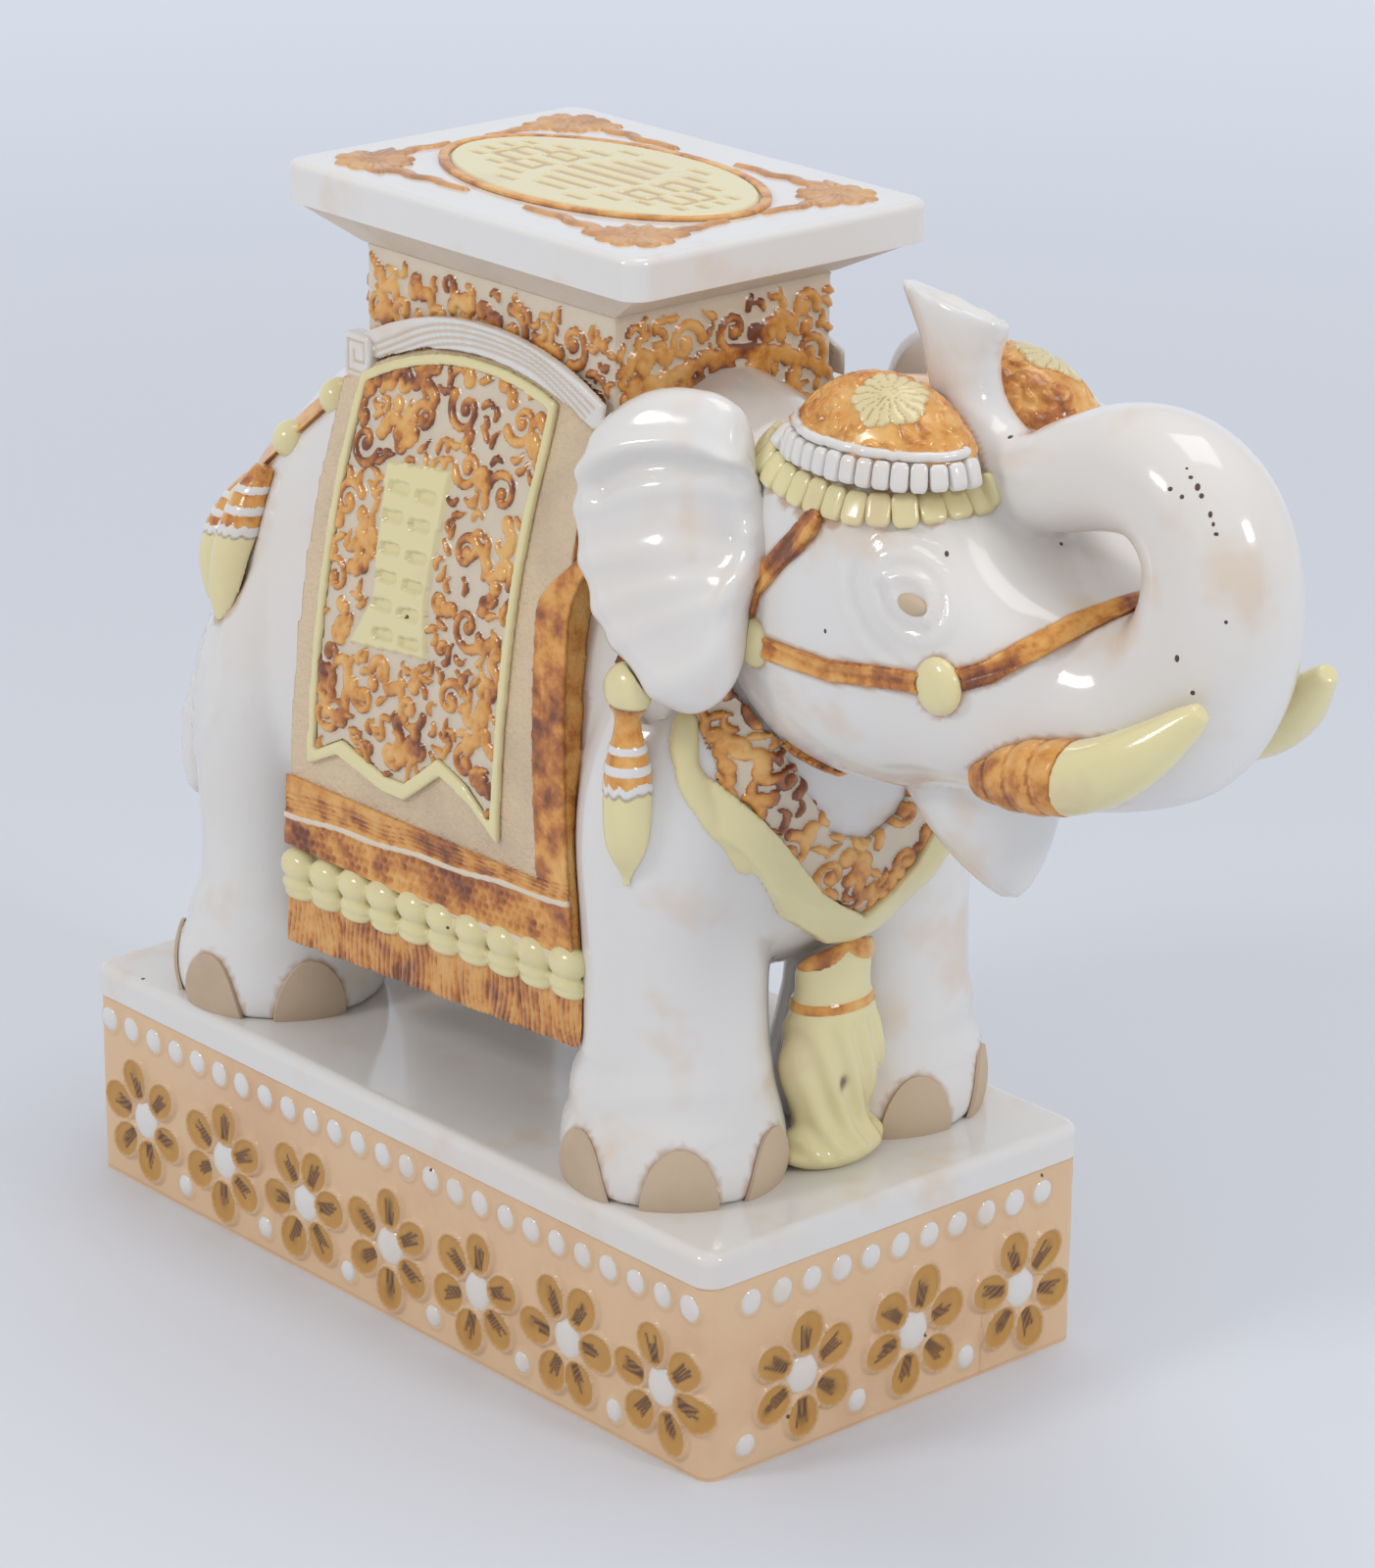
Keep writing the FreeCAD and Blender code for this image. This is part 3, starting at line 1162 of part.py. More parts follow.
PEARL_SHARES = [(0.216, 46.9), (0.277, 45.2), (0.335, 43.0), (0.393, 42.4), (0.460, 46.0),
                (0.524, 51.4), (0.560, 60.0), (0.584, 70.0), (0.600, 80.0)]
SCALLOP_SHARES = [(0.225, 35.3), (0.287, 32.0), (0.349, 29.7), (0.400, 29.8), (0.450, 30.8),
                  (0.505, 35.0), (0.564, 40.0), (0.602, 48.0), (0.635, 59.0), (0.655, 74.0)]


def brow_beads():
    """A row of long white beads below the brow cloth, and a row of yellow scallops below them."""
    pearls, scallops = [], []
    for along, turn in PEARL_SHARES:
        place = head_point(along, turn, 0)
        pearl = ellipsoid(S.pearl_width / 2, S.pearl_width / 2, S.pearl_length / 2, place)
        pearls.append(less(pearl, head_outside, brow_stock, ear_outside, body_outside, trunk_outside))
    for along, turn in SCALLOP_SHARES:
        place = head_point(along, turn, 0)
        scallop = ellipsoid(S.scallop_width / 2, S.scallop_width / 2, S.scallop_width / 2, place)
        scallops.append(less(scallop, head_outside, ear_outside, body_outside, trunk_outside, *pearls))
    both("brow_pearls", pearls)
    both("brow_scallops", scallops)


EAR_BOSS_SHARES = (0.217, -1.8)
CHEEK_BOSS_SHARES = (0.772, 4.2)
BROW_STRAP_SHARES = [(0.385, 0.738), (0.312, 0.666), (0.213, 0.549), (0.190, 0.465), (0.217, 0.409)]
CHEEK_STRAP_SHARES = [(0.217, 0.409), (0.488, 0.416), (0.682, 0.446), (0.772, 0.450)]
NOSE_STRAP_SHARES = [(0.772, 0.450), (0.880, 0.505), (0.970, 0.590), (1.030, 0.665)]
THROAT_STRAP_SHARES = [(0.217, 0.409), (0.145, 0.287), (0.125, 0.196), (0.175, 0.126),
                       (0.263, 0.070), (0.290, 0.058)]


def bridle():
    """Straps over the cheek, brow, throat and nose, laid on the skin, and the bosses over their joints."""
    ear_place = head_point(*EAR_BOSS_SHARES, 0)
    cheek_place = head_point(*CHEEK_BOSS_SHARES, 0)
    ear_knob = ellipsoid(S.ear_boss * 0.9, S.boss_rise, S.ear_boss * 1.1, ear_place)
    cheek_knob = ellipsoid(S.cheek_boss, S.boss_rise, S.cheek_boss, cheek_place)
    bosses = [less(ear_knob, head_outside, body_outside, ear_outside), less(cheek_knob, head_outside)]
    both("bridle_bosses", bosses)
    skin = head_form(S.strap_rise).fuse(trunk_form(S.strap_rise, len(TRUNK_SHARES) // 2))
    cutters = [head_outside, trunk_outside, body_form(S.border_rise + S.strap_rise), ear_outside, ear_knob,
               cheek_knob, brow_stock]
    straps = []
    for route in (BROW_STRAP_SHARES, CHEEK_STRAP_SHARES, NOSE_STRAP_SHARES, THROAT_STRAP_SHARES):
        points = [(between(S.head_rear, S.head_rear + S.head_length, along),
                   between(S.jaw_height, S.crown_height, rise)) for along, rise in route]
        straps.append(less(skin.common(ribbon(points, S.strap_width, 0, S.head_half_width * 2)), *cutters))
    both("bridle_straps", straps)


# Hanging ornaments: ear drops, chest collar and tassel, and the harness of the rump.

DROP_SHARES = [(0.08, 0.60), (0.16, 0.46), (0.24, 0.55), (0.40, 0.80), (0.56, 0.86), (0.70, 0.84),
               (0.86, 0.56), (1.00, 0.16)]


def ear_drops():
    """A ball with a banded pendant below it, lying on the shoulder."""
    top = V(S.drop_x, -S.drop_y, S.drop_top)
    ball = ellipsoid(S.drop_ball, S.drop_ball * 0.7, S.drop_ball, top)
    stations = [(top - UP * (S.drop_length * drop), S.drop_ball * radius) for drop, radius in DROP_SHARES]
    pendant = ball.fuse(tube(stations)).removeSplitter()
    pair("ear_drop", less(pendant, leg_outsides["front_right"], body_outside, ear_outside))


COLLAR_OUTER_SHARES = [(0.98, 1.00), (1.00, 0.74), (0.86, 0.58), (0.68, 0.42), (0.42, 0.16), (0.16, 0.02),
                       (0.00, 0.00)]
COLLAR_TOP_SHARES = [(0.00, 0.36), (0.20, 0.42), (0.42, 0.66), (0.60, 0.84), (0.70, 1.00)]


def collar_outline(inset):
    """The V of the collar as (y, z); the inset draws its lower edge in."""
    height = S.collar_high - S.collar_low
    lower = [(S.collar_half_width * wide - inset * (1 if wide > 0 else 0),
              S.collar_low + height * rise + inset * (1 - rise)) for wide, rise in COLLAR_OUTER_SHARES]
    upper = [(S.collar_half_width * wide, S.collar_low + height * rise) for wide, rise in COLLAR_TOP_SHARES]
    near = [(-y, z) for y, z in lower if y > 0]
    far = [(y, z) for y, z in reversed(lower)]
    return near + far + list(reversed(upper)) + [(-y, z) for y, z in upper if y > 0]


def chest_collar():
    """A bib across the chest with a raised yellow edge."""
    front = S.body_centre + S.body_length / 2
    rear = cloth_edge(1, S.cloth_bottom)
    cutters = [body_outside, leg_outsides["front_right"], leg_outsides["front_left"], head_outside,
               ear_outside, mirrored(ear_outside)]
    inner = front_plate(collar_outline(S.collar_border), rear, front + S.overrun * 2)
    outer = front_plate(collar_outline(0), rear, front + S.overrun * 2)
    keep("chest_collar", feature("chest_collar", less(body_form(S.collar_rise).common(inner), *cutters)))
    edge = body_form(S.border_rise).common(outer).cut(inner)
    keep("collar_border", feature("collar_border", less(edge, *cutters)))


CHEST_TASSEL_SHARES = [(0.00, 0.76, 0.80), (0.12, 0.90, 0.90), (0.34, 1.00, 1.00), (0.58, 0.90, 0.92),
                       (0.68, 0.76, 0.80), (0.76, 0.76, 0.80), (0.86, 0.76, 0.78), (1.00, 0.76, 0.74)]


def chest_tassel():
    """The big fluted tassel that stands on the slab under the collar; rings are (up, width, depth)."""
    height = S.collar_low + S.collar_border - S.slab_top
    wires = []
    for rise, width, depth in CHEST_TASSEL_SHARES:
        points = []
        for step in range(SECTION_POINTS):
            angle = 2 * math.pi * step / SECTION_POINTS
            points.append(V(S.tassel_x + S.tassel_half_depth * depth * math.cos(angle),
                            S.tassel_half_width * width * math.sin(angle), S.slab_top + height * rise))
        wires.append(smooth_loop(points))
    stock = Part.makeLoft(wires, True, False)
    keep("chest_tassel", feature("chest_tassel", less(
        stock, body_form(S.border_rise), leg_outsides["front_right"], leg_outsides["front_left"])))


HARNESS_SHARES = [(0.280, 0.868), (0.215, 0.815), (0.150, 0.735), (0.070, 0.645), (0.010, 0.560)]
NEAR_TASSEL_SHARES = [(0.125, 44), (0.118, 36), (0.115, 27), (0.118, 18), (0.125, 9)]
FAR_TASSEL_SHARES = [(0.034, 52), (0.026, 43), (0.020, 33), (0.018, 23), (0.020, 12)]
TASSEL_RADIUS_SHARES = [0.50, 0.85, 1.00, 0.92, 0.25]
RUMP_BALL_SHARES = [(0.212, 58), (0.148, 50), (0.050, 42)]


def rump_dress():
    """A strap round the rump, with balls on it and a pendant tassel below."""
    rear = S.body_centre - S.body_length / 2
    points = [(rear + S.body_length * along, between(S.belly_height, S.back_height, rise))
              for along, rise in HARNESS_SHARES]
    cutters = [pillar_block(), tail_root, leg_outsides["hind_right"]]
    balls = []
    for along, turn in RUMP_BALL_SHARES:
        balls.append(ellipsoid(S.rump_ball, S.rump_ball, S.rump_ball, body_point(along, turn, 0)))
    pendants = []
    for route in (NEAR_TASSEL_SHARES, FAR_TASSEL_SHARES):
        stations = [(body_point(along, turn, S.rump_tassel_radius * 0.2), S.rump_tassel_radius * radius)
                    for (along, turn), radius in zip(route, TASSEL_RADIUS_SHARES)]
        pendants.append(less(tube(stations), body_outside, leg_outsides["hind_right"], *balls))
    skin = body_form(S.strap_rise).cut(body_outside)
    strap = skin.common(ribbon(points, S.strap_width, 0, S.body_half_width * 2))
    strap = trimmed(strap, *(balls + pendants + cutters))
    both("rump_strap", [part for part in strap.Solids if part.Volume > S.strap_rise * S.strap_width ** 2])
    both("rump_balls", [less(ball, body_outside, tail_root) for ball in balls])
    both("rump_tassels", pendants)


def export():
    doc.recompute()
    for thing in doc.Objects:
        if "Invalid" in thing.State or "Error" in thing.State:
            raise RuntimeError("%s failed: %s" % (thing.Label, thing.State))
    for thing in nodes:
        shape = thing.Shape
        if shape.isNull() or not shape.isValid() or not shape.Solids:
            raise RuntimeError("%s has no valid shape" % thing.Label)
        shape.exportStep("parts/%s.step" % thing.Label)
        print("%-24s solids %3d  volume %10.1f cm3" % (thing.Label, len(shape.Solids), shape.Volume / 1000))


layer_pillar_arch = arch_stock()
brow_stock = brow_skirt()
plinth_wall()
plinth_slab()
bead_row()
plinth_flowers()
plinth_studs()
body_shell()
legs()
toenails()
head_shell()
trunk()
lower_lip()
tusks()
eyes()
ears()
tail_root = tail()
seat_pillar()
seat_corbel()
seat_slab()
seat_medallion()
corner_sprays()
saddle_cloth()
tassel_heads()
arch_moulding()
brow_cloth()
brow_beads()
bridle()
ear_drops()
chest_collar()
chest_tassel()
rump_dress()
export()
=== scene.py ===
import json
import math
import random

import bmesh
import bpy
import numpy as np
from mathutils import Matrix, Vector
from mathutils.bvhtree import BVHTree


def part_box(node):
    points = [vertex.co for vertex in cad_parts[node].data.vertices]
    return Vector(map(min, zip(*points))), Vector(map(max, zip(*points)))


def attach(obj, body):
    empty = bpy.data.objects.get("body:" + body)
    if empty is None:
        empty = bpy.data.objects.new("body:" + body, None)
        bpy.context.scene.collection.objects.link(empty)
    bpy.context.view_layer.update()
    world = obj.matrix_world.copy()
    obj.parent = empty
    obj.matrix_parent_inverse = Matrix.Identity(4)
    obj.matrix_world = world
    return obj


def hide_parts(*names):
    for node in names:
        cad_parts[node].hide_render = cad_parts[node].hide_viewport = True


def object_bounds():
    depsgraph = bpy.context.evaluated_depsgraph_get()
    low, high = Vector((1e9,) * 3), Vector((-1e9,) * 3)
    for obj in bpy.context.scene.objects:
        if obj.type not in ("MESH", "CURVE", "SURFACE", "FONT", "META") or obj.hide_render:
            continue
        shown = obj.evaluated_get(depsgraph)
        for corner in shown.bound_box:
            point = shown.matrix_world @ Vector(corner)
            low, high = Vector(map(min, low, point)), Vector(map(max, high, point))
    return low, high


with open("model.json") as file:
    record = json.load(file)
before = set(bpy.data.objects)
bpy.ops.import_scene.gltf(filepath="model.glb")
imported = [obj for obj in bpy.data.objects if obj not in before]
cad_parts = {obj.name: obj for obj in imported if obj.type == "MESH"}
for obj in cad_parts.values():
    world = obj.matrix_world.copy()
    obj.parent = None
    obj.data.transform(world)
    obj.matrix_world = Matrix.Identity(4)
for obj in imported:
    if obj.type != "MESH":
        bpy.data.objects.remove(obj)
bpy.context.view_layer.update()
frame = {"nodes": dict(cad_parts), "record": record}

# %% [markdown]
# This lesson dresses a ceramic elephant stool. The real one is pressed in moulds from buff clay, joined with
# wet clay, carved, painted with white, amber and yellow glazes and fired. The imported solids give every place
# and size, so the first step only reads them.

MM = 0.001
nodes = frame["nodes"]

# %% [markdown]
# The camera stands where the photographer stood. Its place and turn come from the straight edges of the
# plinth and the seat. A pixel of the photograph can then be followed back to the point that it shows on a
# surface, which is how the carved details below find their places.

# %% The camera and the line of sight through a pixel
EYE_POINT = Vector((1.50067610, -1.27229319, 0.91643018))
EYE_RIGHT = Vector((0.66193296, 0.74951675, 0.00833004))
EYE_UP = Vector((-0.26145915, 0.22046297, 0.93969952))
EYE_BACK = Vector((0.70248407, -0.62419605, 0.34189972))
EYE_REACH = 5428.5686
PICTURE = (1403, 1600)
SENSOR = 36.0
STOOL_AWAY = 1.9

camera = bpy.data.objects.new("camera", bpy.data.cameras.new("camera"))
bpy.context.scene.collection.objects.link(camera)
facing = Matrix((EYE_RIGHT, EYE_UP, EYE_BACK)).transposed().to_4x4()
camera.matrix_world = Matrix.Translation(EYE_POINT) @ facing
camera.data.sensor_width = SENSOR
camera.data.lens = EYE_REACH * SENSOR / max(PICTURE)
bpy.context.scene.camera = camera


def seen(tree, column, row):
    """The point and the normal of a surface under a pixel of the photograph."""
    across = (column - PICTURE[0] / 2) / EYE_REACH
    down = (row - PICTURE[1] / 2) / EYE_REACH
    sight = (EYE_RIGHT * across - EYE_UP * down - EYE_BACK).normalized()
    hit = tree.ray_cast(EYE_POINT, sight)
    if hit[0] is None:
        hit = tree.find_nearest(EYE_POINT + sight * STOOL_AWAY)
    return hit[0], hit[1]


print("lens", round(camera.data.lens, 2), "mm")

# %% [markdown]
# Glazes first. Each glaze is one Principled material. What several of them share, such as the cloudy drift of
# a brushed glaze or its iron specks, is a small node group that puts out only a mask or a colour. The groups
# read Object coordinates, so the pattern is fixed to the clay.

# %% Helpers that wire node groups and materials
def on_clay(tree):
    """Object coordinates, which stay fixed to the clay."""
    return tree.nodes.new("ShaderNodeTexCoord").outputs["Object"]


def connect(tree, *pairs):
    """Each socket is linked to a node's output, or set to a number or a colour."""
    for socket, value in pairs:
        if hasattr(value, "is_output"):
            tree.links.new(value, socket)
        elif isinstance(value, (int, float)):
            socket.default_value = value
        else:
            socket.default_value = (*value, 1.0)


def ramp(tree, factor, stops):
    node = tree.nodes.new("ShaderNodeValToRGB")
    band = node.color_ramp
    while len(band.elements) < len(stops):
        band.elements.new(0.5)
    for element, (place, colour) in zip(band.elements, stops):
        element.position = place
        element.color = (*colour, 1.0)
    tree.links.new(factor, node.inputs[0])
    return node.outputs[0]


def noise(tree, scale, detail=3.0, rough=0.5):
    node = tree.nodes.new("ShaderNodeTexNoise")
    connect(tree, (node.inputs["Vector"], on_clay(tree)), (node.inputs["Scale"], scale),
            (node.inputs["Detail"], detail), (node.inputs["Roughness"], rough))
    return node.outputs["Fac"]


def mix(tree, factor, first, second):
    node = tree.nodes.new("ShaderNodeMix")
    node.data_type = "RGBA"
    connect(tree, (node.inputs[0], factor), (node.inputs[6], first), (node.inputs[7], second))
    return node.outputs[2]


def calc(tree, operation, first, second, clamp=False):
    node = tree.nodes.new("ShaderNodeMath")
    node.operation = operation
    node.use_clamp = clamp
    connect(tree, (node.inputs[0], first), (node.inputs[1], second))
    return node.outputs[0]


def scaled(tree, first, second):
    return calc(tree, "MULTIPLY", first, second)


def step_mask(tree, value, low, high):
    """0 below low, 1 above high, and smooth between them."""
    node = tree.nodes.new("ShaderNodeMapRange")
    node.interpolation_type = "SMOOTHSTEP"
    connect(tree, (node.inputs["From Min"], low), (node.inputs["From Max"], high),
            (node.inputs["Value"], value))
    return node.outputs["Result"]


def use(tree, group):
    node = tree.nodes.new("ShaderNodeGroup")
    node.node_tree = group
    return node


def attribute(tree, name, channel="Fac"):
    """A value or a colour that is stored on the piece's points."""
    node = tree.nodes.new("ShaderNodeAttribute")
    node.attribute_name = name
    return node.outputs[channel]


def zones_of(tree):
    """The three masks in the piece's zones attribute."""
    node = tree.nodes.new("ShaderNodeSeparateColor")
    tree.links.new(attribute(tree, "zones", "Color"), node.inputs[0])
    return node.outputs


print("shader helpers ready")

# %% [markdown]
# Four effects are shared. Iron specks come from the clay, and the glaze is thin in cloudy patches. The amber
# glaze is orange where it is thin and brown where it has pooled, and any thick glaze lies a little uneven.

# %% Shared effects: specks, drift, pooled amber and a soft orange-peel surface
def make_group(name, output, wire, depth=False):
    """A node group with one output; wire builds it, and gets the Depth input where it has one."""
    group = bpy.data.node_groups.new(name, "ShaderNodeTree")
    if depth:
        group.interface.new_socket("Depth", in_out="INPUT", socket_type="NodeSocketFloat")
    group.interface.new_socket(output, in_out="OUTPUT",
                               socket_type="NodeSocketColor" if output == "Color" else "NodeSocketFloat")
    value = wire(group, group.nodes.new("NodeGroupInput").outputs[0]) if depth else wire(group)
    group.links.new(value, group.nodes.new("NodeGroupOutput").inputs[0])
    return group


def speck_mask(group):
    """1 in a few tiny round spots."""
    cells = group.nodes.new("ShaderNodeTexVoronoi")
    connect(group, (cells.inputs["Scale"], 62.0), (cells.inputs["Vector"], on_clay(group)))
    spot = step_mask(group, calc(group, "SUBTRACT", 0.075, cells.outputs["Distance"]), 0.0, 0.02)
    chosen = group.nodes.new("ShaderNodeSeparateColor")
    group.links.new(cells.outputs["Color"], chosen.inputs[0])
    return scaled(group, spot, calc(group, "GREATER_THAN", chosen.outputs[0], 0.90))


def drift_mask(group):
    """Cloudy patches where the glaze is thin."""
    patches = step_mask(group, noise(group, 24.0, 3.0, 0.55), 0.56, 0.74)
    wide = step_mask(group, noise(group, 7.0, 2.0, 0.5), 0.46, 0.66)
    return calc(group, "ADD", scaled(group, patches, 0.75), scaled(group, wide, 0.25), True)


def amber_run(group, depth):
    """Runny amber glaze: yellow orange where it is thin, and brown where it has pooled."""
    blots = scaled(group, noise(group, 95.0, 4.0, 0.62), 0.55)
    mixed = calc(group, "ADD", blots, scaled(group, noise(group, 30.0, 3.0, 0.6), 0.45))
    wide = calc(group, "ADD", scaled(group, calc(group, "SUBTRACT", mixed, 0.5), 1.5), 0.5)
    return ramp(group, calc(group, "ADD", wide, depth), [
        (0.36, (0.82, 0.46, 0.14)), (0.52, (0.72, 0.32, 0.065)),
        (0.63, (0.48, 0.16, 0.03)), (0.76, (0.20, 0.055, 0.018))])


def skin_height(group):
    """The faint unevenness of a thick glaze, as a height for Bump."""
    return calc(group, "ADD", noise(group, 38.0, 2.0, 0.4), scaled(group, noise(group, 260.0, 2.0, 0.5), 0.06))


specks = make_group("iron specks", "Mask", speck_mask)
drift = make_group("thin glaze", "Mask", drift_mask)
pooled_amber = make_group("pooled amber", "Color", amber_run, True)
glaze_skin = make_group("glaze skin", "Height", skin_height)


def pool(tree, depth):
    """Amber that is darker where the depth is more."""
    amber = use(tree, pooled_amber)
    tree.links.new(depth, amber.inputs[0])
    return amber.outputs[0]


def glaze(name, colour, roughness, coat=0.0, bump=0.0, bump_from=None, relief=0.0006):
    """A Principled material; colour is a value or a function that wires one and returns its socket."""
    material = bpy.data.materials.new(name)
    material.use_nodes = True
    tree = material.node_tree
    shader = tree.nodes["Principled BSDF"]
    connect(tree, (shader.inputs["Base Color"], colour(tree) if callable(colour) else colour),
            (shader.inputs["Roughness"], roughness), (shader.inputs["Coat Weight"], coat),
            (shader.inputs["Coat Roughness"], 0.04))
    if bump:
        lift = tree.nodes.new("ShaderNodeBump")
        height = bump_from(tree) if bump_from else use(tree, glaze_skin).outputs[0]
        connect(tree, (lift.inputs["Strength"], bump), (lift.inputs["Distance"], relief),
                (lift.inputs["Height"], height), (shader.inputs["Normal"], lift.outputs[0]))
    return material


print("shared effects:", [group.name for group in bpy.data.node_groups])

# %% [markdown]
# White glaze is never one white here: it turns pinkish beige where it lies thin, and carries a few dark
# specks. The amber of the scrolls breaks from orange to dark brown. The yellow is even and milky. The plinth
# walls and the nails have no glaze, so they are rough and show the clay.

# %% The glazes and clays
WHITE, THIN_WHITE, SPECK = (0.785, 0.76, 0.73), (0.76, 0.63, 0.51), (0.10, 0.06, 0.045)
# The first brown is the line where another glaze meets the white, which also paints the shade in the seam.
LINE_BROWN_AND_SEAM_SHADE, BUFF_STAIN = (0.50, 0.29, 0.15), (0.70, 0.43, 0.25)
YELLOW, THIN_YELLOW = (0.81, 0.715, 0.385), (0.74, 0.59, 0.34)
CREAM, BUFF, FIELD = (0.78, 0.66, 0.50), (0.785, 0.535, 0.32), (0.82, 0.63, 0.42)


def white_colour(tree):
    """White that is pinkish where thin; the brown line where another glaze meets it is partly painted shade.
    """
    patchy = mix(tree, use(tree, drift).outputs[0], WHITE, THIN_WHITE)
    # The brown line is the edge of another glaze and also painted shade in the seam between parts.
    lined_and_shaded = mix(tree, scaled(tree, attribute(tree, "line"), 0.75), patchy, LINE_BROWN_AND_SEAM_SHADE)
    return mix(tree, use(tree, specks).outputs[0], lined_and_shaded, SPECK)


def yellow_colour(tree):
    thin = mix(tree, use(tree, drift).outputs[0], YELLOW, THIN_YELLOW)
    return mix(tree, use(tree, specks).outputs[0], thin, SPECK)


def amber_colour(tree):
    return use(tree, pooled_amber).outputs[0]


def scroll_colour(ground):
    """Amber on the crests of the relief attribute, and the ground colour in the hollows."""
    def wire(tree):
        height = attribute(tree, "relief")
        wander = scaled(tree, calc(tree, "SUBTRACT", noise(tree, 160.0), 0.5), 0.35)
        mask = step_mask(tree, calc(tree, "ADD", height, wander), 0.16, 0.34)
        edge = scaled(tree, calc(tree, "SUBTRACT", 0.8, height), 0.24)
        stems = scaled(tree, step_mask(tree, noise(tree, 42.0, 2.0, 0.5), 0.50, 0.62), 0.17)
        shade = mix(tree, noise(tree, 60.0), ground, tuple(0.82 * c for c in ground))
        return mix(tree, mask, shade, pool(tree, calc(tree, "ADD", edge, stems)))
    return wire


def clay_colour(base, dark):
    def wire(tree):
        stained = mix(tree, step_mask(tree, noise(tree, 16.0, 4.0, 0.6), 0.45, 0.8), base, dark)
        return mix(tree, use(tree, specks).outputs[0], stained, SPECK)
    return wire


def grain(scale):
    def wire(tree):
        return noise(tree, scale, 4.0, 0.65)
    return wire


white_glaze = glaze("white_glaze", white_colour, roughness=0.13, coat=0.35, bump=0.16)
yellow_glaze = glaze("yellow_glaze", yellow_colour, roughness=0.17, coat=0.3, bump=0.16)
amber_glaze = glaze("amber_glaze", amber_colour, roughness=0.2, coat=0.25, bump=0.25)
scroll_glaze = glaze("scroll_glaze", scroll_colour(CREAM), roughness=0.24, coat=0.3, bump=0.2)
nail_colour = clay_colour((0.60, 0.46, 0.32), (0.50, 0.37, 0.25))
band_colour = clay_colour((0.76, 0.66, 0.54), (0.66, 0.54, 0.43))
bisque = glaze("buff_bisque", clay_colour(BUFF, BUFF_STAIN), roughness=0.62, bump=0.3, bump_from=grain(420.0),
               relief=0.0004)
bare_clay = glaze("bare_clay", nail_colour, roughness=0.75, bump=0.4, bump_from=grain(700.0), relief=0.0003)
cloth_clay = glaze("cloth_field", clay_colour(FIELD, (0.60, 0.46, 0.33)), roughness=0.42, bump=0.9,
                   bump_from=grain(330.0), relief=0.0006)
brushed = glaze("brushed_band", band_colour, roughness=0.5, bump=0.4, bump_from=grain(300.0), relief=0.0004)
print("materials:", [material.name for material in bpy.data.materials])

# %% [markdown]
# Two kinds of piece come next. A melted piece is a copy of some solids, filled in as one lump of small cubes
# and smoothed, so that neighbours flow into each other as wet clay does. A laid grid is a flat grid that is
# bent onto a surface, and raised by a height, which is how a pressed relief is made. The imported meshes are
# loose triangles, so a copy is merged before it is used.

# %% Helpers that make pieces
def merged(*names):
    """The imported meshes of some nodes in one, with their loose triangles joined up."""
    bm = bmesh.new()
    for name in names:
        part = bmesh.new()
        part.from_mesh(nodes[name].data)
        bmesh.ops.remove_doubles(part, verts=part.verts, dist=1e-6)
        bm.from_mesh(as_mesh("part", part))
    return bm


def as_mesh(name, source):
    """A mesh of that name; a bmesh is written out and freed."""
    if isinstance(source, bmesh.types.BMesh):
        mesh = bpy.data.meshes.new(name)
        source.to_mesh(mesh)
        source.free()
        return mesh
    source.name = name
    return source


def to_object(name, source):
    thing = bpy.data.objects.new(name, as_mesh(name, source))
    bpy.context.scene.collection.objects.link(thing)
    return thing


def settled(thing):
    """The object's mesh with its modifiers worked in; the object itself goes."""
    bpy.context.view_layer.update()
    graph = bpy.context.evaluated_depsgraph_get()
    mesh = bpy.data.meshes.new_from_object(thing.evaluated_get(graph))
    bpy.data.objects.remove(thing)
    return mesh


def melted(source, voxel, rounds):
    """A solid filled in as small cubes and smoothed some rounds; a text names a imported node."""
    lump = to_object("lump", merged(source) if isinstance(source, str) else source)
    cubes = lump.modifiers.new("melt", "REMESH")
    cubes.mode = "VOXEL"
    cubes.voxel_size = voxel
    if rounds:
        soft = lump.modifiers.new("soft", "SMOOTH")
        soft.factor, soft.iterations = 0.5, rounds
    return settled(lump)


def islands(bm):
    """The points of each separate solid, as lists."""
    bm.verts.ensure_lookup_table()
    bm.verts.index_update()
    found, reached = [], set()
    for first in bm.verts:
        if first.index in reached:
            continue
        reached.add(first.index)
        group, queue = [first], [first]
        while queue:
            for edge in queue.pop().link_edges:
                for vert in edge.verts:
                    if vert.index not in reached:
                        reached.add(vert.index)
                        group.append(vert)
                        queue.append(vert)
        found.append(group)
    return found


def outer_skin(mesh):
    """The mesh without what lies loose inside it."""
    bm = bmesh.new()
    bm.from_mesh(mesh)
    keep = set(max(islands(bm), key=len))
    bmesh.ops.delete(bm, geom=[vert for vert in bm.verts if vert not in keep], context="VERTS")
    return as_mesh("skin", bm)


def soft_block(low, high, edge, voxel):
    """A block with rounded edges between two corners, in millimetres."""
    bm = bmesh.new()
    bmesh.ops.create_cube(bm, size=1.0)
    for vert in bm.verts:
        vert.co = [((a + b) / 2 + share * (b - a)) * MM for a, b, share in zip(low, high, vert.co)]
    bmesh.ops.bevel(bm, geom=bm.edges[:], offset=edge, segments=3, profile=0.5, affect="EDGES", material=-1)
    return melted(bm, voxel, 0)


def blob(bm, place, size, turn, around, rings):
    """A ball of clay pressed to three half sizes, turned and put in its place, in metres."""
    bmesh.ops.create_uvsphere(bm, u_segments=around, v_segments=rings, radius=1.0,
                              matrix=Matrix.Translation(place) @ turn @ Matrix.Diagonal([*size, 1.0]))


def read_points(mesh):
    flat = np.zeros(len(mesh.vertices) * 3)
    mesh.vertices.foreach_get("co", flat)
    return flat.reshape(-1, 3)


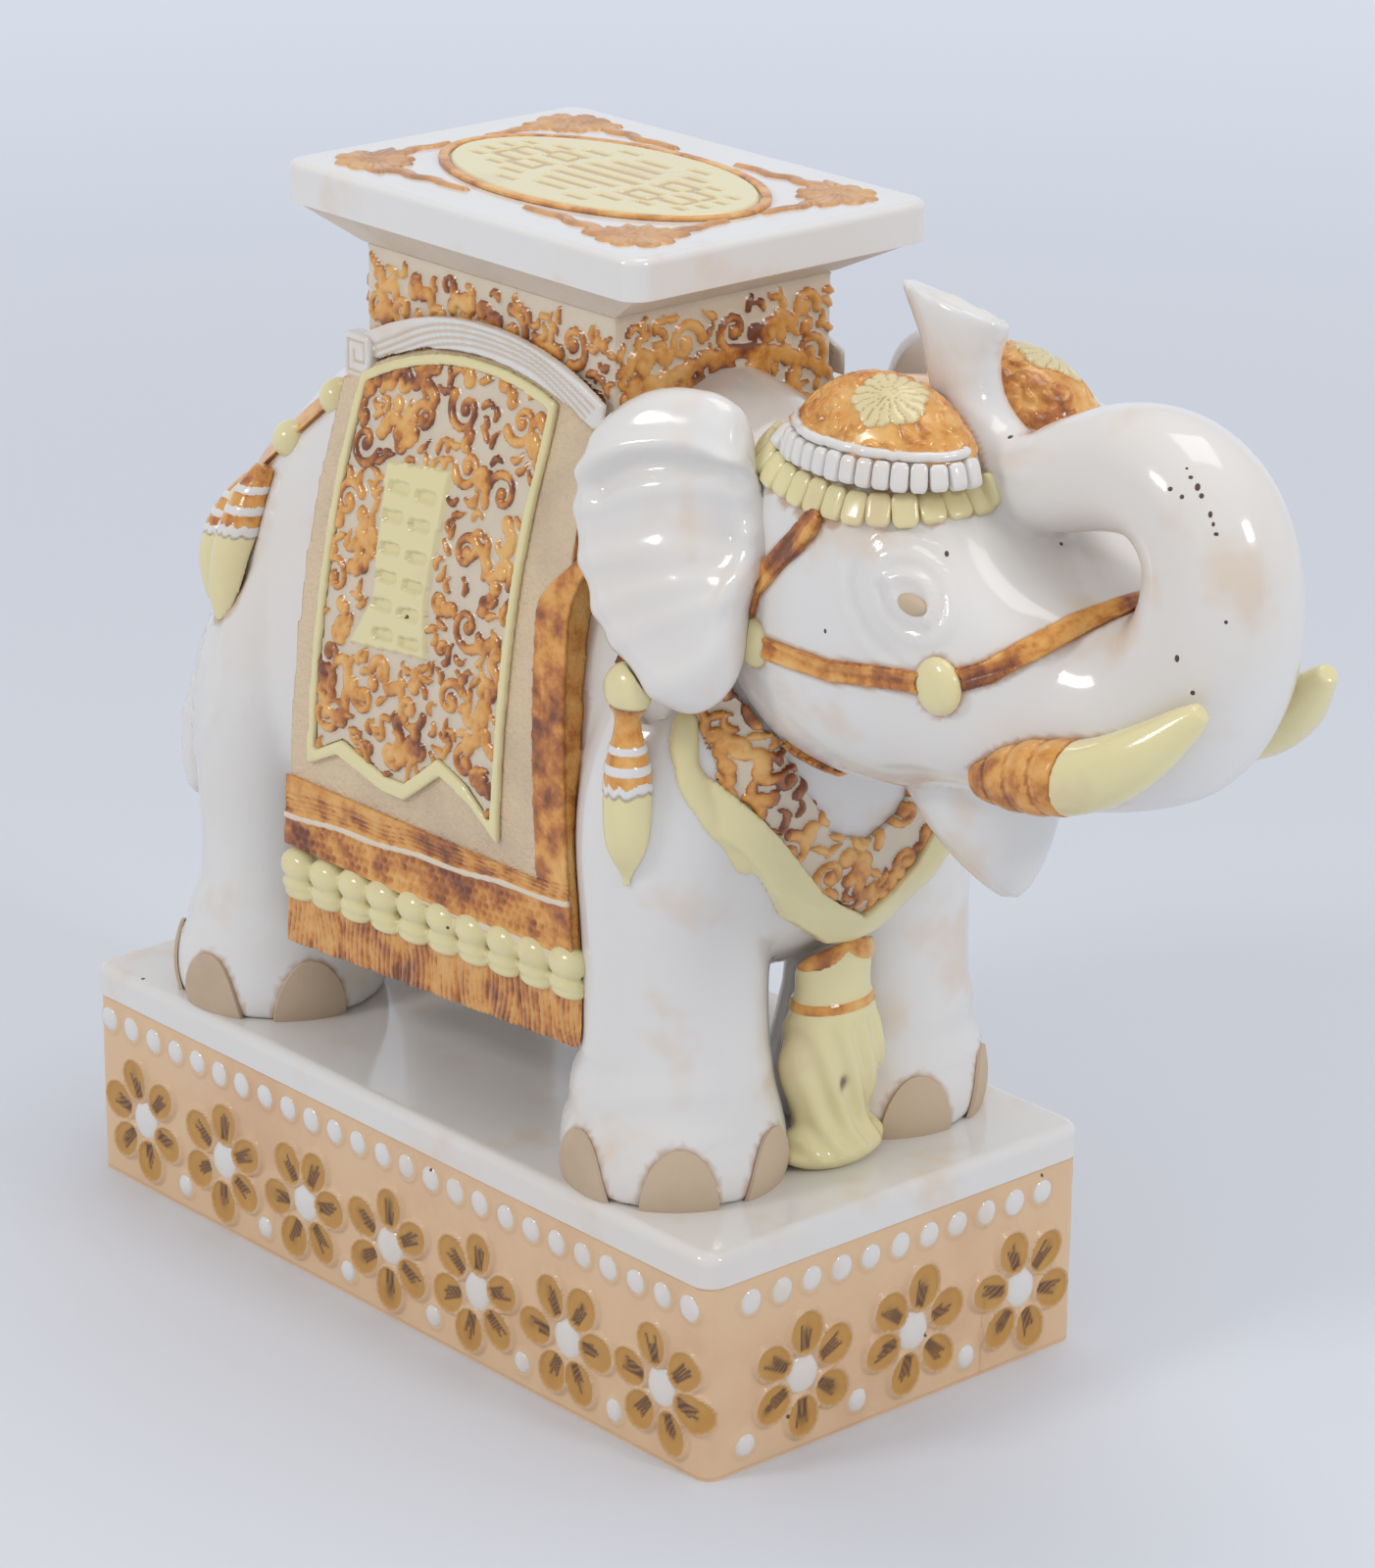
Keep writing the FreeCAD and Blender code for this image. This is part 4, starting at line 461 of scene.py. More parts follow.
def read_normals(mesh):
    flat = np.zeros(len(mesh.vertices) * 3, np.float32)
    mesh.vertex_normals.foreach_get("vector", flat)
    return flat.reshape(-1, 3).astype(float)


def write_points(mesh, points):
    mesh.vertices.foreach_set("co", points.ravel())
    mesh.update()


def raise_by(mesh, heights):
    write_points(mesh, read_points(mesh) + read_normals(mesh) * heights[:, None])


def tree_of(*names):
    """A search tree over some pieces, to drop points onto their surface."""
    bm = bmesh.new()
    for name in names:
        bm.from_mesh(bpy.data.objects[name].data)
    tree = BVHTree.FromBMesh(bm)
    bm.free()
    return tree


def store(mesh, name, values):
    """Values for the glaze to read: one for each point, or three as a colour."""
    values = np.asarray(values, np.float32)
    if values.ndim == 1:
        mesh.attributes.new(name, "FLOAT", "POINT").data.foreach_set("value", values)
    else:
        colours = np.column_stack([values, np.ones(len(values), np.float32)])
        mesh.attributes.new(name, "FLOAT_COLOR", "POINT").data.foreach_set("color", colours.ravel())


def piece(name, source, material, stands_for=()):
    """A finished piece: smooth shaded, riding on the stool, with its finish and the solids it stands for."""
    thing = to_object(name, source)
    thing.data.shade_smooth()
    thing.data.materials.append(material)
    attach(thing, "root")
    if stands_for:
        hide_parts(*stands_for)
    thing.data.calc_loop_triangles()
    print("%-24s %7d triangles" % (name, len(thing.data.loop_triangles)))
    return thing


def laid_grid(columns, rows, place, marks, outward):
    """A grid with its points at place(u, v), u and v from 0 to 1; marks(u, v) are kept for the glaze."""
    bm = bmesh.new()
    bmesh.ops.create_grid(bm, x_segments=columns, y_segments=rows, size=1.0)
    flat = np.array([vert.co[:2] for vert in bm.verts])
    u, v = (flat[:, 0] + 1) / 2, (flat[:, 1] + 1) / 2
    for vert, point in zip(bm.verts, place(u, v)):
        vert.co = point
    bm.normal_update()
    if sum(face.normal.dot(outward) for face in bm.faces) < 0:
        bmesh.ops.reverse_faces(bm, faces=bm.faces)
    mesh = as_mesh("grid", bm)
    for name, values in marks(u, v).items():
        store(mesh, name, values)
    return mesh


def pressed(mesh, draw):
    """The mesh lifted by draw(points, normals), in millimetres; what else that gives is kept for the glaze."""
    points, normals = read_points(mesh) / MM, read_normals(mesh)
    drawn = draw(points, normals)
    write_points(mesh, (points + normals * drawn.pop("lift")[:, None]) * MM)
    for name, values in drawn.items():
        store(mesh, name, values)
    return mesh


def both_flanks(name, source, material, stands_for=None):
    """The piece on the right flank and its mirror image; it stands for a node on each flank, or one in all."""
    mesh = as_mesh(name, source)
    twin = mesh.copy()
    twin.transform(Matrix.Scale(-1, 4, Vector((0, 1, 0))))
    twin.flip_normals()
    left, right = (), ()
    if stands_for in nodes:
        right = [stands_for]
    elif stands_for:
        left, right = [stands_for + "_left"], [stands_for + "_right"]
    piece(name + "_left", twin, material, left)
    piece(name + "_right", mesh, material, right)


print("mesh helpers ready")

# %% [markdown]
# A carver draws with the tool's stroke. Each curl, stem or leaf here is a line with a width, and the relief
# is how high a point lies on the nearest stroke. Curls are placed from large to small until they fill their
# outline.

# %% Strokes: lines of wet clay with a width, and how high a point lies on them
def along_line(points, count):
    """Evenly spread points on a smooth curve through the given ones."""
    points = np.array(points, float)
    for _ in range(3):
        cut = [points[:1]]
        for first, second in zip(points, points[1:]):
            cut.append(np.array([first * 0.75 + second * 0.25, first * 0.25 + second * 0.75]))
        points = np.concatenate(cut + [points[-1:]])
    steps = np.concatenate([[0], np.cumsum(np.linalg.norm(np.diff(points, axis=0), axis=1))])
    wanted = np.linspace(0, steps[-1], count)
    return np.stack([np.interp(wanted, steps, points[:, axis]) for axis in range(points.shape[1])], axis=1)


def nearest_run(points, a, b):
    """How far points lie from the straight run between two, and the share of the run where they meet it."""
    run = b - a
    share = np.clip(((points - a) @ run) / max(run @ run, 1e-12), 0, 1)
    return np.linalg.norm(points - a - share[:, None] * run, axis=1), share


def stroke_height(points, strokes):
    """Half-round height, 0 to 1, of points over strokes; a stroke is (line points, half widths)."""
    height = np.zeros(len(points))
    for line, widths in strokes:
        line, widths = np.asarray(line, float), np.asarray(widths, float)
        low, high = line.min(0) - widths.max(), line.max(0) + widths.max()
        near = np.where(np.all((points >= low) & (points <= high), axis=1))[0]
        for a, b, wa, wb in zip(line, line[1:], widths, widths[1:]):
            gap, share = nearest_run(points[near], a, b)
            rise = np.sqrt(np.clip(1 - (gap / (wa + (wb - wa) * share)) ** 2, 0, 1))
            height[near] = np.maximum(height[near], rise)
    return height


def ridge(points, line, width, rise):
    """A soft ridge or groove along a line of points, by distance from it."""
    line = np.asarray(line, float)
    gaps = [nearest_run(points, a, b)[0] for a, b in zip(line, line[1:])]
    return rise * np.exp(-(np.min(gaps, axis=0) / width) ** 2)


def blend_step(value, low, high):
    """0 below low, 1 above high, and smooth between them."""
    t = np.clip((value - low) / (high - low), 0, 1)
    return t * t * (3 - 2 * t)


def dents(points, seed, step, rise):
    """Slow unevenness of hand-worked clay."""
    rng = np.random.default_rng(seed)
    total = np.zeros(len(points))
    for _ in range(5):
        wave = rng.normal(size=3)
        wave = wave / np.linalg.norm(wave) / step * rng.uniform(0.6, 1.4)
        total += np.sin(points @ wave * 2 * math.pi + rng.uniform(0, 6))
    return total / 5 * rise


def outline_gap(outline, x, z):
    """Least distance from a point to a closed outline."""
    run = np.roll(outline, -1, axis=0) - outline
    off = np.array([x, z]) - outline
    share = np.clip((off[:, 0] * run[:, 0] + off[:, 1] * run[:, 1]) / (run ** 2).sum(1), 0, 1)
    return np.hypot(off[:, 0] - share * run[:, 0], off[:, 1] - share * run[:, 1]).min()


def within(outline):
    """A test for a circle that lies inside a closed outline of (x, z) points."""
    outline = np.array(outline, float)

    def inside(x, z, margin):
        ahead = np.roll(outline, -1, axis=0)
        crosses = (outline[:, 1] > z) != (ahead[:, 1] > z)
        span = np.where(ahead[:, 1] == outline[:, 1], 1e-9, ahead[:, 1] - outline[:, 1])
        hits = crosses & (x < (ahead[:, 0] - outline[:, 0]) * (z - outline[:, 1]) / span + outline[:, 0])
        return hits.sum() % 2 == 1 and outline_gap(outline, x, z) > margin
    return inside


def curl(centre, radius, start, hand, width, turns=1.15):
    """A spiral stroke that winds in to a bead, fat where it leaves its stem."""
    t = np.linspace(0, 1, 22)
    angle = math.radians(start) + hand * 2 * math.pi * turns * t
    outer = radius - width * 0.8
    reach = outer * (1 - 0.94 * t)
    line = np.stack([centre[0] + reach * np.cos(angle), centre[1] + reach * np.sin(angle)], axis=1)
    thick = min(width, radius * 0.3)
    return line, thick * (1.12 - 0.45 * np.sin(math.pi * t)) + thick * 0.15 * (t > 0.93)


def comma(centre, length, angle, bend, width):
    """A small leaf, fat at one end."""
    t = np.linspace(-0.5, 0.5, 8)
    turn = math.radians(angle) + bend * t
    line = np.stack([centre[0] + length * t * np.cos(turn), centre[1] + length * t * np.sin(turn)], axis=1)
    return line, width * (1.15 - 1.3 * np.abs(t + 0.2))


def stem(start, end, bend, width):
    """A fat S-shaped stem between two curls, with a lobe on each side."""
    start, end = np.array(start, float), np.array(end, float)
    run = end - start
    side = np.array([-run[1], run[0]])
    t = np.linspace(0, 1, 12)
    line = start + run * t[:, None] + side * (bend * np.sin(2 * math.pi * t))[:, None]
    return line, width * (0.8 + 0.45 * np.sin(math.pi * t))


def foliage(inside, box, radii, rng, width, curls=(), tries=260, leaves=500):
    """Curls of falling size, stems between them and leaves in the gaps, so that they fill an outline."""
    placed = [(x, z, r) for x, z, r in curls]
    for radius in radii:
        for _ in range(tries):
            x, z = rng.uniform(box[0], box[1]), rng.uniform(box[2], box[3])
            if not inside(x, z, radius):
                continue
            if all(math.hypot(x - a, z - b) > (radius + r) * 0.96 for a, b, r in placed):
                placed.append((x, z, radius))
    strokes = []
    for number, (x, z, radius) in enumerate(placed):
        near = sorted((math.hypot(x - a, z - b), a, b, r) for k, (a, b, r) in enumerate(placed) if k != number)
        toward = math.degrees(math.atan2(near[0][2] - z, near[0][1] - x)) if near else 0
        hand = 1 if number % 2 else -1
        strokes.append(curl((x, z), radius, toward + hand * rng.uniform(40, 100), hand, width))
        for gap, a, b, r in near[:2]:
            if gap < 1.5 * (radius + r):
                reach = (gap - radius - r) / gap / 2 + 0.12
                start = (x + (a - x) * (radius / gap - reach), z + (b - z) * (radius / gap - reach))
                end = (a + (x - a) * (r / gap - reach), b + (z - b) * (r / gap - reach))
                strokes.append(stem(start, end, 0.25 * hand, width * 1.1))
    leaf = width * 0.62
    for _ in range(leaves):
        x, z = rng.uniform(box[0], box[1]), rng.uniform(box[2], box[3])
        if inside(x, z, leaf) and all(math.hypot(x - a, z - b) > r + leaf * 1.1 for a, b, r in placed):
            placed.append((x, z, leaf * 1.5))
            strokes.append(comma((x, z), leaf * 5, rng.uniform(0, 180), rng.uniform(-1.6, 1.6), leaf * 1.15))
    return strokes


print("stroke helpers ready")

# %% [markdown]
# The plinth was pressed in a mould with its flowers on it, so its relief is one skin that runs round all four
# walls and round the corners. Here the skin is two long grids, half of the way round each. First comes a way
# to say how far round the wall a place is.

# %% Plinth skin: places round the four walls
def mm_box(node):
    low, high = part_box(node)
    return [v / MM for v in low], [v / MM for v in high]


HALF_LONG, HALF_WIDE, WALL_TOP = mm_box("plinth_wall")[1]
CORNER = 6.0
LONG_RUN, WIDE_RUN = 2 * (HALF_LONG - CORNER), 2 * (HALF_WIDE - CORNER)
TURN_RUN = math.pi / 2 * CORNER
ROUND = 2 * (LONG_RUN + WIDE_RUN) + 4 * TURN_RUN


def round_wall(along):
    """Point and outward direction on the wall's outline, from the middle of the front to the left."""
    along = np.asarray(along, float) % ROUND
    place, facing = np.zeros((len(along), 2)), np.zeros((len(along), 2))
    spans = [WIDE_RUN / 2, TURN_RUN, LONG_RUN, TURN_RUN, WIDE_RUN, TURN_RUN, LONG_RUN, TURN_RUN, WIDE_RUN / 2]
    spot, way = np.array([HALF_LONG, 0.0]), 0.0
    begin = 0.0
    for number, span in enumerate(spans):
        here = (along >= begin) & (along <= begin + span)
        part = along[here] - begin
        out = np.array([math.cos(way), math.sin(way)])
        go = np.array([-out[1], out[0]])
        if number % 2 == 0:
            place[here] = spot + part[:, None] * go
            facing[here] = out
            spot = spot + span * go
        else:
            centre = spot - CORNER * out
            turned = way + part / CORNER
            facing[here] = np.stack([np.cos(turned), np.sin(turned)], axis=1)
            place[here] = centre + CORNER * facing[here]
            way += math.pi / 2
            spot = centre + CORNER * np.array([math.cos(way), math.sin(way)])
        begin += span
    return place, facing


def unrolled(x, y):
    """Distance round the wall of a point that lies near it."""
    steps = np.arange(0, ROUND, 0.5)
    place, _ = round_wall(steps)
    return steps[np.argmin((place[:, 0] - x) ** 2 + (place[:, 1] - y) ** 2)]


def loose_parts(node):
    """Distance round the wall, and height, of the middle of each separate solid of a node."""
    bm = merged(node)
    spots = []
    for group in islands(bm):
        places = np.array([vert.co for vert in group])
        middle = (places.min(0) + places.max(0)) / 2 / MM
        spots.append((unrolled(middle[0], middle[1]), middle[2]))
    bm.free()
    return spots


flower_spots, bead_spots = loose_parts("flower_centres"), loose_parts("bead_row")
stud_spots = loose_parts("plinth_studs")
print("flowers", len(flower_spots), "beads", len(bead_spots), "studs", len(stud_spots))

# %% [markdown]
# The height of the skin is drawn: raised petals with a sunk face and four strokes in each, and a low ring
# round every bead and stud. The same drawing says where amber glaze was brushed, and where it is dark.

# %% Plinth skin: height and glaze drawn on it
PETAL_OUT, PETAL_IN, PETAL_HALF, PETAL_RISE, PETAL_RIM = 28.0, 7.4, 9.3, 2.1, 1.25
FLOWER_TURNS = (0, 8, 14, 22, 30, -8, -14)
STROKE_SHIFTS = (-3.0, -1.0, 1.0, 3.0)
SKIN_GRID = (620, 88)
SKIN_EDGE, SKIN_MOST = 0.2, 2.35


def plinth_relief(along, height):
    lift, amber, dark = np.zeros((3, len(along)))
    rng = random.Random(5)
    for spot, level in flower_spots:
        turn = math.radians(rng.choice(FLOWER_TURNS))
        for leaf in range(6):
            angle = turn + math.radians(60 * leaf + rng.uniform(-5, 5))
            reach = rng.uniform(0.94, 1.0) * PETAL_OUT
            wide = rng.uniform(0.92, 1.06) * PETAL_HALF
            dx = (along - spot + ROUND / 2) % ROUND - ROUND / 2
            dz = height - level
            near = np.where(dx * dx + dz * dz < (PETAL_OUT + 3) ** 2)[0]
            a = dx[near] * math.cos(angle) + dz[near] * math.sin(angle)
            b = -dx[near] * math.sin(angle) + dz[near] * math.cos(angle)
            middle, half = (reach + PETAL_IN) / 2, (reach - PETAL_IN) / 2
            taper = wide * (0.86 + 0.14 * (a - PETAL_IN) / reach)
            gap = (1 - np.hypot((a - middle) / half, b / taper)) * wide
            rim = PETAL_RISE * blend_step(gap, -0.7, 0.5)
            face = 0.95 * blend_step(gap, 0.7, PETAL_RIM + 0.5)
            strokes = np.zeros(len(near))
            for shift in STROKE_SHIFTS:
                side = np.abs(b - shift * (0.45 + 0.55 * (a - PETAL_IN) / (reach - PETAL_IN)))
                inside = (a > PETAL_IN + 2.4) & (a < PETAL_IN + rng.uniform(8.5, 14.5))
                strokes = np.maximum(strokes, inside * np.clip(1.3 - side / 0.7, 0, 1))
            height_here = rim - face - 0.35 * strokes
            taken = height_here > lift[near]
            lift[near] = np.maximum(lift[near], height_here)
            inside_face = blend_step(gap, PETAL_RIM - 0.6, PETAL_RIM)
            amber[near] = np.maximum(amber[near] * (1 - taken), inside_face)
            blot = np.exp(-((a - middle - rng.uniform(-2, 3)) ** 2 + b ** 2 * 2.2) / rng.uniform(4, 16))
            blot = blot * rng.uniform(0, 0.9)
            dark[near] = np.maximum(dark[near], np.maximum(strokes * 0.95, blot * inside_face))
    for spots, radius, rise in ((bead_spots, 5.0, 0.9), (stud_spots, 4.6, 0.7)):
        for spot, level in spots:
            dx = (along - spot + ROUND / 2) % ROUND - ROUND / 2
            near = np.where((np.abs(dx) < radius * 2) & (np.abs(height - level) < radius * 2))[0]
            gap = np.hypot(dx[near], height[near] - level)
            ring = rise * blend_step(radius + 2.0 - gap, 0, 1.2) * blend_step(gap, radius - 0.9, radius)
            lift[near] = np.maximum(lift[near], ring)
    return lift, amber, dark


def lay_plinth(start, outward):
    """Half of the skin, as a grid that begins at this distance round the wall."""
    def spread(u, v):
        return start + u * ROUND / 2, v * (WALL_TOP - 2 * SKIN_EDGE) + SKIN_EDGE

    def place(u, v):
        along, height = spread(u, v)
        wander = 0.16 * np.sin(along / 17 + 2 * np.sin(height / 23)) * np.sin(height / 9 + along / 41)
        out = np.clip(plinth_relief(along, height)[0] + 0.22 + wander, 0.05, SKIN_MOST)
        out = np.where((v < 0.002) | (v > 0.998), -1.5, out)
        spot, facing = round_wall(along)
        return np.column_stack([spot + facing * out[:, None], height]) * MM

    def marks(u, v):
        _, amber, dark = plinth_relief(*spread(u, v))
        return {"zones": np.column_stack([amber, 0 * amber, dark])}
    return laid_grid(*SKIN_GRID, place, marks, Vector(outward))


def plinth_colour(tree):
    zones = zones_of(tree)
    amber = mix(tree, noise(tree, 110.0), (0.62, 0.34, 0.07), (0.50, 0.22, 0.04))
    stained = mix(tree, zones[2], amber, (0.09, 0.03, 0.012))
    return mix(tree, zones[0], clay_colour(BUFF, BUFF_STAIN)(tree), stained)


plinth_glaze = glaze("plinth_slip", plinth_colour, roughness=0.42, coat=0.25, bump=0.2,
                     bump_from=grain(300.0), relief=0.0004)
piece("plinth_skin_left", lay_plinth(WIDE_RUN / 4, (0, 1, 0)), plinth_glaze,
      ("petals_sides", "petals_ends"))
piece("plinth_skin_right", lay_plinth(WIDE_RUN / 4 + ROUND / 2, (0, -1, 0)), plinth_glaze)

# %% [markdown]
# Beads, studs and flower centres are balls of white clay that were pressed on by hand, so each is a little
# different.

# %% Beads, studs and flower centres, each pressed on by hand
BEAD_FRONT = 193.35
BUTTON_REACH = BEAD_FRONT - HALF_LONG


def pressed_buttons(spots, radius, seed, around):
    """Small domes on the wall, no two quite alike."""
    rng = random.Random(seed)
    bm = bmesh.new()
    for spot, level in spots:
        (place,), (facing,) = round_wall([spot])
        out, across = Vector((*facing, 0)), Vector((-facing[1], facing[0], 0))
        turn = Matrix((across, Vector((0, 0, 1)), out)).transposed().to_4x4()
        size = [radius * rng.uniform(0.93, 1.05), radius * rng.uniform(0.95, 1.07)]
        size.append(BUTTON_REACH * rng.uniform(0.9, 1.0))
        centre = Vector((*place, level + rng.uniform(-0.3, 0.3)))
        blob(bm, centre * MM, Vector(size) * MM, turn, around, around // 2)
    return bm


for name, spots, radius, seed, around, node in (("wall_beads", bead_spots, 5.7, 61, 16, "bead_row"),
                                                ("wall_studs", stud_spots, 5.0, 62, 16, "plinth_studs"),
                                                ("flower_eyes", flower_spots, 8.4, 63, 24, "flower_centres")):
    piece(name, pressed_buttons(spots, radius, seed, around), white_glaze, [node])

# %% [markdown]
# The body, legs and tail were luted together and sponged smooth, and so were the head, the trunk and the lip.
# Each group is melted into one lump. The air holes are plugged first, or the lump would keep its inside.

# %% Body and head as smooth lumps
def one_lump(names, plugs, voxel, rounds):
    """Solids melted into one, with their vents plugged and nothing left inside."""
    bm = merged(*names)
    for centre in plugs:
        bmesh.ops.create_cone(bm, cap_ends=True, segments=32, radius1=PLUG_RADIUS, radius2=PLUG_RADIUS,
                              depth=PLUG_DEPTH, matrix=Matrix.Translation(centre))
    return outer_skin(melted(bm, voxel, rounds))


def halo(mesh, names, reach):
    """How near each point of a mesh is to some solids: 1 at them and 0 further off than the reach."""
    solids = merged(*names)
    tree = BVHTree.FromBMesh(solids)
    solids.free()
    gaps = [tree.find_nearest(vert.co, reach * 1.2 * MM)[3] for vert in mesh.vertices]
    return np.array([0.0 if gap is None else 1 - blend_step(gap / MM, reach * 0.25, reach) for gap in gaps])


PLUG_RADIUS, PLUG_DEPTH = 0.0226, 0.039
THIGH, THIGH_FOLDS = (-158, 236), (17, 26, 35, 44)


def skin_folds(points):
    """Curved folds over the thigh, and rings of loose skin above the feet."""
    gap = np.hypot(np.abs(points[:, 0] - THIGH[0]), points[:, 2] - THIGH[1])
    flank = blend_step(np.abs(points[:, 1]), 35, 60) * (points[:, 0] < -90)
    flank = flank * blend_step(points[:, 2], 150, 190)
    rise = sum(1.1 * np.exp(-((gap - radius) / 2.6) ** 2) for radius in THIGH_FOLDS) * flank
    leg = blend_step(np.abs(points[:, 1]), 20, 40) * blend_step(150 - points[:, 2], 0, 10)
    lines = np.sin(points[:, 2] / 3.4 + 1.5 * np.sin(points[:, 0] / 14))
    return rise + leg * 0.7 * lines * (points[:, 2] > 118)


body_parts = ["body_shell", "leg_front_right", "leg_front_left", "leg_hind_right", "leg_hind_left", "tail"]
leg_plugs = [(x * 0.121, y * 0.052, 0.112) for x in (1, -1) for y in (1, -1)]
body_mesh = one_lump(body_parts, leg_plugs, 0.0030, 5)
points = read_points(body_mesh) / MM
raise_by(body_mesh, (skin_folds(points) + dents(points, 3, 46, 0.3)) * MM)
# Where the cloth, strap, tassels and nails meet the body, a brown line is painted: the glaze's edge and also
# painted shade in the seam.
store(body_mesh, "line", halo(body_mesh, ["saddle_cloth_right", "saddle_cloth_left", "cloth_border_right",
                                          "cloth_border_left", "rump_strap", "rump_tassels",
                                          "toenails_front", "toenails_hind"], 2.0))
piece("elephant_body", body_mesh, white_glaze, body_parts)

# %% [markdown]
# The eye sits in oval folds. The trunk's mouth is a dish with a rim that was rounded with a wet sponge.

# %% Head, trunk and lip
head_parts = ["head_shell", "trunk", "lower_lip"]
head_mesh = one_lump(head_parts, (), 0.0020, 4)
points = read_points(head_mesh) / MM
EYE = np.array([247.0, -56.0, 351.0])
UPPER_LID = [(-11, -2), (-6, 4.0), (1, 5.8), (7, 3.6), (11, -1.5)]
LOWER_LID = [(-10, -3), (-2, -5.6), (6, -4.6), (11, -1.5)]
EYE_FOLDS = ((13.0, 2.2, 0.7), (9.6, 1.6, -0.7), (16.6, 1.6, -0.5))
SOCKET_FOLDS = ((21.0, 2.4, -1.6), (25.5, 2.6, 0.8))
EYE_REGION = 24
MOUTH_TILT, MOUTH_DROP, MOUTH_BAND = 0.45, 7.5, 26.0


def eye_rings(points):
    """Oval folds round the eye, and the crease of the socket behind and above it."""
    folded = np.column_stack([points[:, 0], -np.abs(points[:, 1]), points[:, 2]]) - EYE
    lid = np.column_stack([folded[:, 0] * 0.83 - folded[:, 2] * 0.55,
                           folded[:, 0] * 0.55 + folded[:, 2] * 0.83])
    away = np.sqrt((lid[:, 0] / 1.3) ** 2 + lid[:, 1] ** 2 + folded[:, 1] ** 2)
    rise = sum(height * np.exp(-((away - radius) / width) ** 2) for radius, width, height in EYE_FOLDS)
    near = np.linalg.norm(folded, axis=1) < EYE_REGION
    rise += near * ridge(lid, along_line(UPPER_LID, 14), 1.9, 1.9)
    rise += near * ridge(lid, along_line(LOWER_LID, 12), 1.7, 1.1)
    rear = blend_step(6 - folded[:, 0], 0, 14)
    for radius, width, height in SOCKET_FOLDS:
        rise += height * rear * np.exp(-((away - radius) / width) ** 2)
    return rise


def soften(mesh, chosen, rounds):
    """The chosen points rounded off, as a wet sponge does to a rim."""
    bm = bmesh.new()
    bm.from_mesh(mesh)
    bm.verts.ensure_lookup_table()
    rim = [bm.verts[int(number)] for number in np.flatnonzero(chosen)]
    for _ in range(rounds):
        bmesh.ops.smooth_vert(bm, verts=rim, factor=0.5, use_axis_x=True, use_axis_y=True, use_axis_z=True)
    bm.to_mesh(mesh)
    bm.free()


def tilt_mouth(points):
    """The trunk's mouth leans toward the camera's right, so the dish inside it shows."""
    top = points[:, 2].max()
    rim = points[points[:, 2] > top - 3].mean(0)
    across = (points - rim) @ np.array(EYE_RIGHT)
    grip = blend_step(points[:, 2], top - 36, top - 3) * (np.abs(points[:, 0] - rim[0]) < 42)
    points[:, 2] -= grip * (MOUTH_TILT * across + MOUTH_DROP)
    return points


write_points(head_mesh, tilt_mouth(points) * MM)
soften(head_mesh, points[:, 2] > points[:, 2].max() - MOUTH_BAND, 9)
raise_by(head_mesh, (eye_rings(points) + dents(points, 7, 40, 0.2)) * MM)
# Where bosses, straps, beads, scallops, tusks and the brow cloth meet the head, the same brown line is
# painted: partly painted shade in the seam.
store(head_mesh, "line", halo(head_mesh, ["bridle_bosses", "bridle_straps", "brow_scallops", "brow_pearls",
                                          "tusk_cuff_right", "tusk_cuff_left", "tusk_right", "tusk_left",
                                          "brow_cloth_right", "brow_cloth_left"], 1.6))
piece("elephant_head", head_mesh, white_glaze, head_parts)

# %% [markdown]
# The scrollwork was carved in the mould: fat curls of clay that stand up from a sunk ground. A melted copy of
# each panel is lifted wherever a drawn stroke passes, and the same height tells the glaze where to pool.

# %% Saddle cloth panel: curls, and a plain fretwork strip in the middle
PANEL = [(-54, 372), (-35, 380), (-5, 388), (24, 391), (52, 387), (72, 378), (62, 300), (62, 216), (49, 229),
         (28, 237), (7, 219), (-5, 219), (-35, 230), (-55, 215), (-58, 300)]
PANEL_CURLS = [(-38, 345, 10.5), (14, 368, 11.0), (-8, 360, 8.5), (46, 370, 10.5), (44, 343, 11.5),
               (-42, 322, 10.0), (-44, 292, 11.5), (-44, 262, 10.5), (36, 292, 11.5), (30, 318, 9.0),
               (-24, 370, 8.0), (52, 316, 7.5), (-45, 238, 9.5), (-22, 250, 9.0), (6, 252, 10.0),
               (30, 262, 9.5), (-4, 232, 7.5), (40, 240, 8.5), (52, 270, 7.0)]
FRET = [(-24, 342), (15, 346), (15, 332), (12, 295), (15, 273), (-34, 268), (-21, 290), (-22, 315)]
FRET_BARS = [(-4, 277), (-6, 288), (-5, 299), (-5, 310), (-6, 322), (-5, 333)]


def draw_cloth_panel(points, normals):
    rng = random.Random(11)
    panel, strip, fret = within(PANEL), within(FRET), np.array(FRET, float)

    def free(x, z, margin):
        return panel(x, z, margin * 0.8) and not strip(x, z, 0) and outline_gap(fret, x, z) > margin * 0.8
    curls = [spot for spot in PANEL_CURLS if free(spot[0], spot[1], spot[2] * 0.6)]
    strokes = foliage(free, (-60, 74, 214, 392), (9.5, 7.6, 6.0, 4.8), rng, 2.15, curls, leaves=1300)
    flat = points[:, [0, 2]]
    relief = stroke_height(flat, strokes)
    sunk = [(np.array([(x + side - 4, z), (x + side + 4, z + 0.6)]), np.array([2.1, 2.1]))
            for x, z in FRET_BARS for side in (-8, 8)]
    plate = np.array([strip(x, z, 1.2) for x, z in flat])
    bars = (stroke_height(flat, sunk) > 0) & plate
    lift = np.where(plate, 0.9 - 1.9 * bars, 1.9 * relief - 0.9) * np.clip(-normals[:, 1], 0, 1)
    return {"lift": lift, "relief": np.where(plate, 0.0, relief), "fret": [strip(x, z, 0.6) for x, z in flat]}


def panel_colour(tree):
    """Scroll glaze, with yellow where the relief stands and no curl is drawn."""
    yellow = step_mask(tree, attribute(tree, "fret"), 0.4, 0.6)
    return mix(tree, yellow, scroll_colour(CREAM)(tree), yellow_colour(tree))


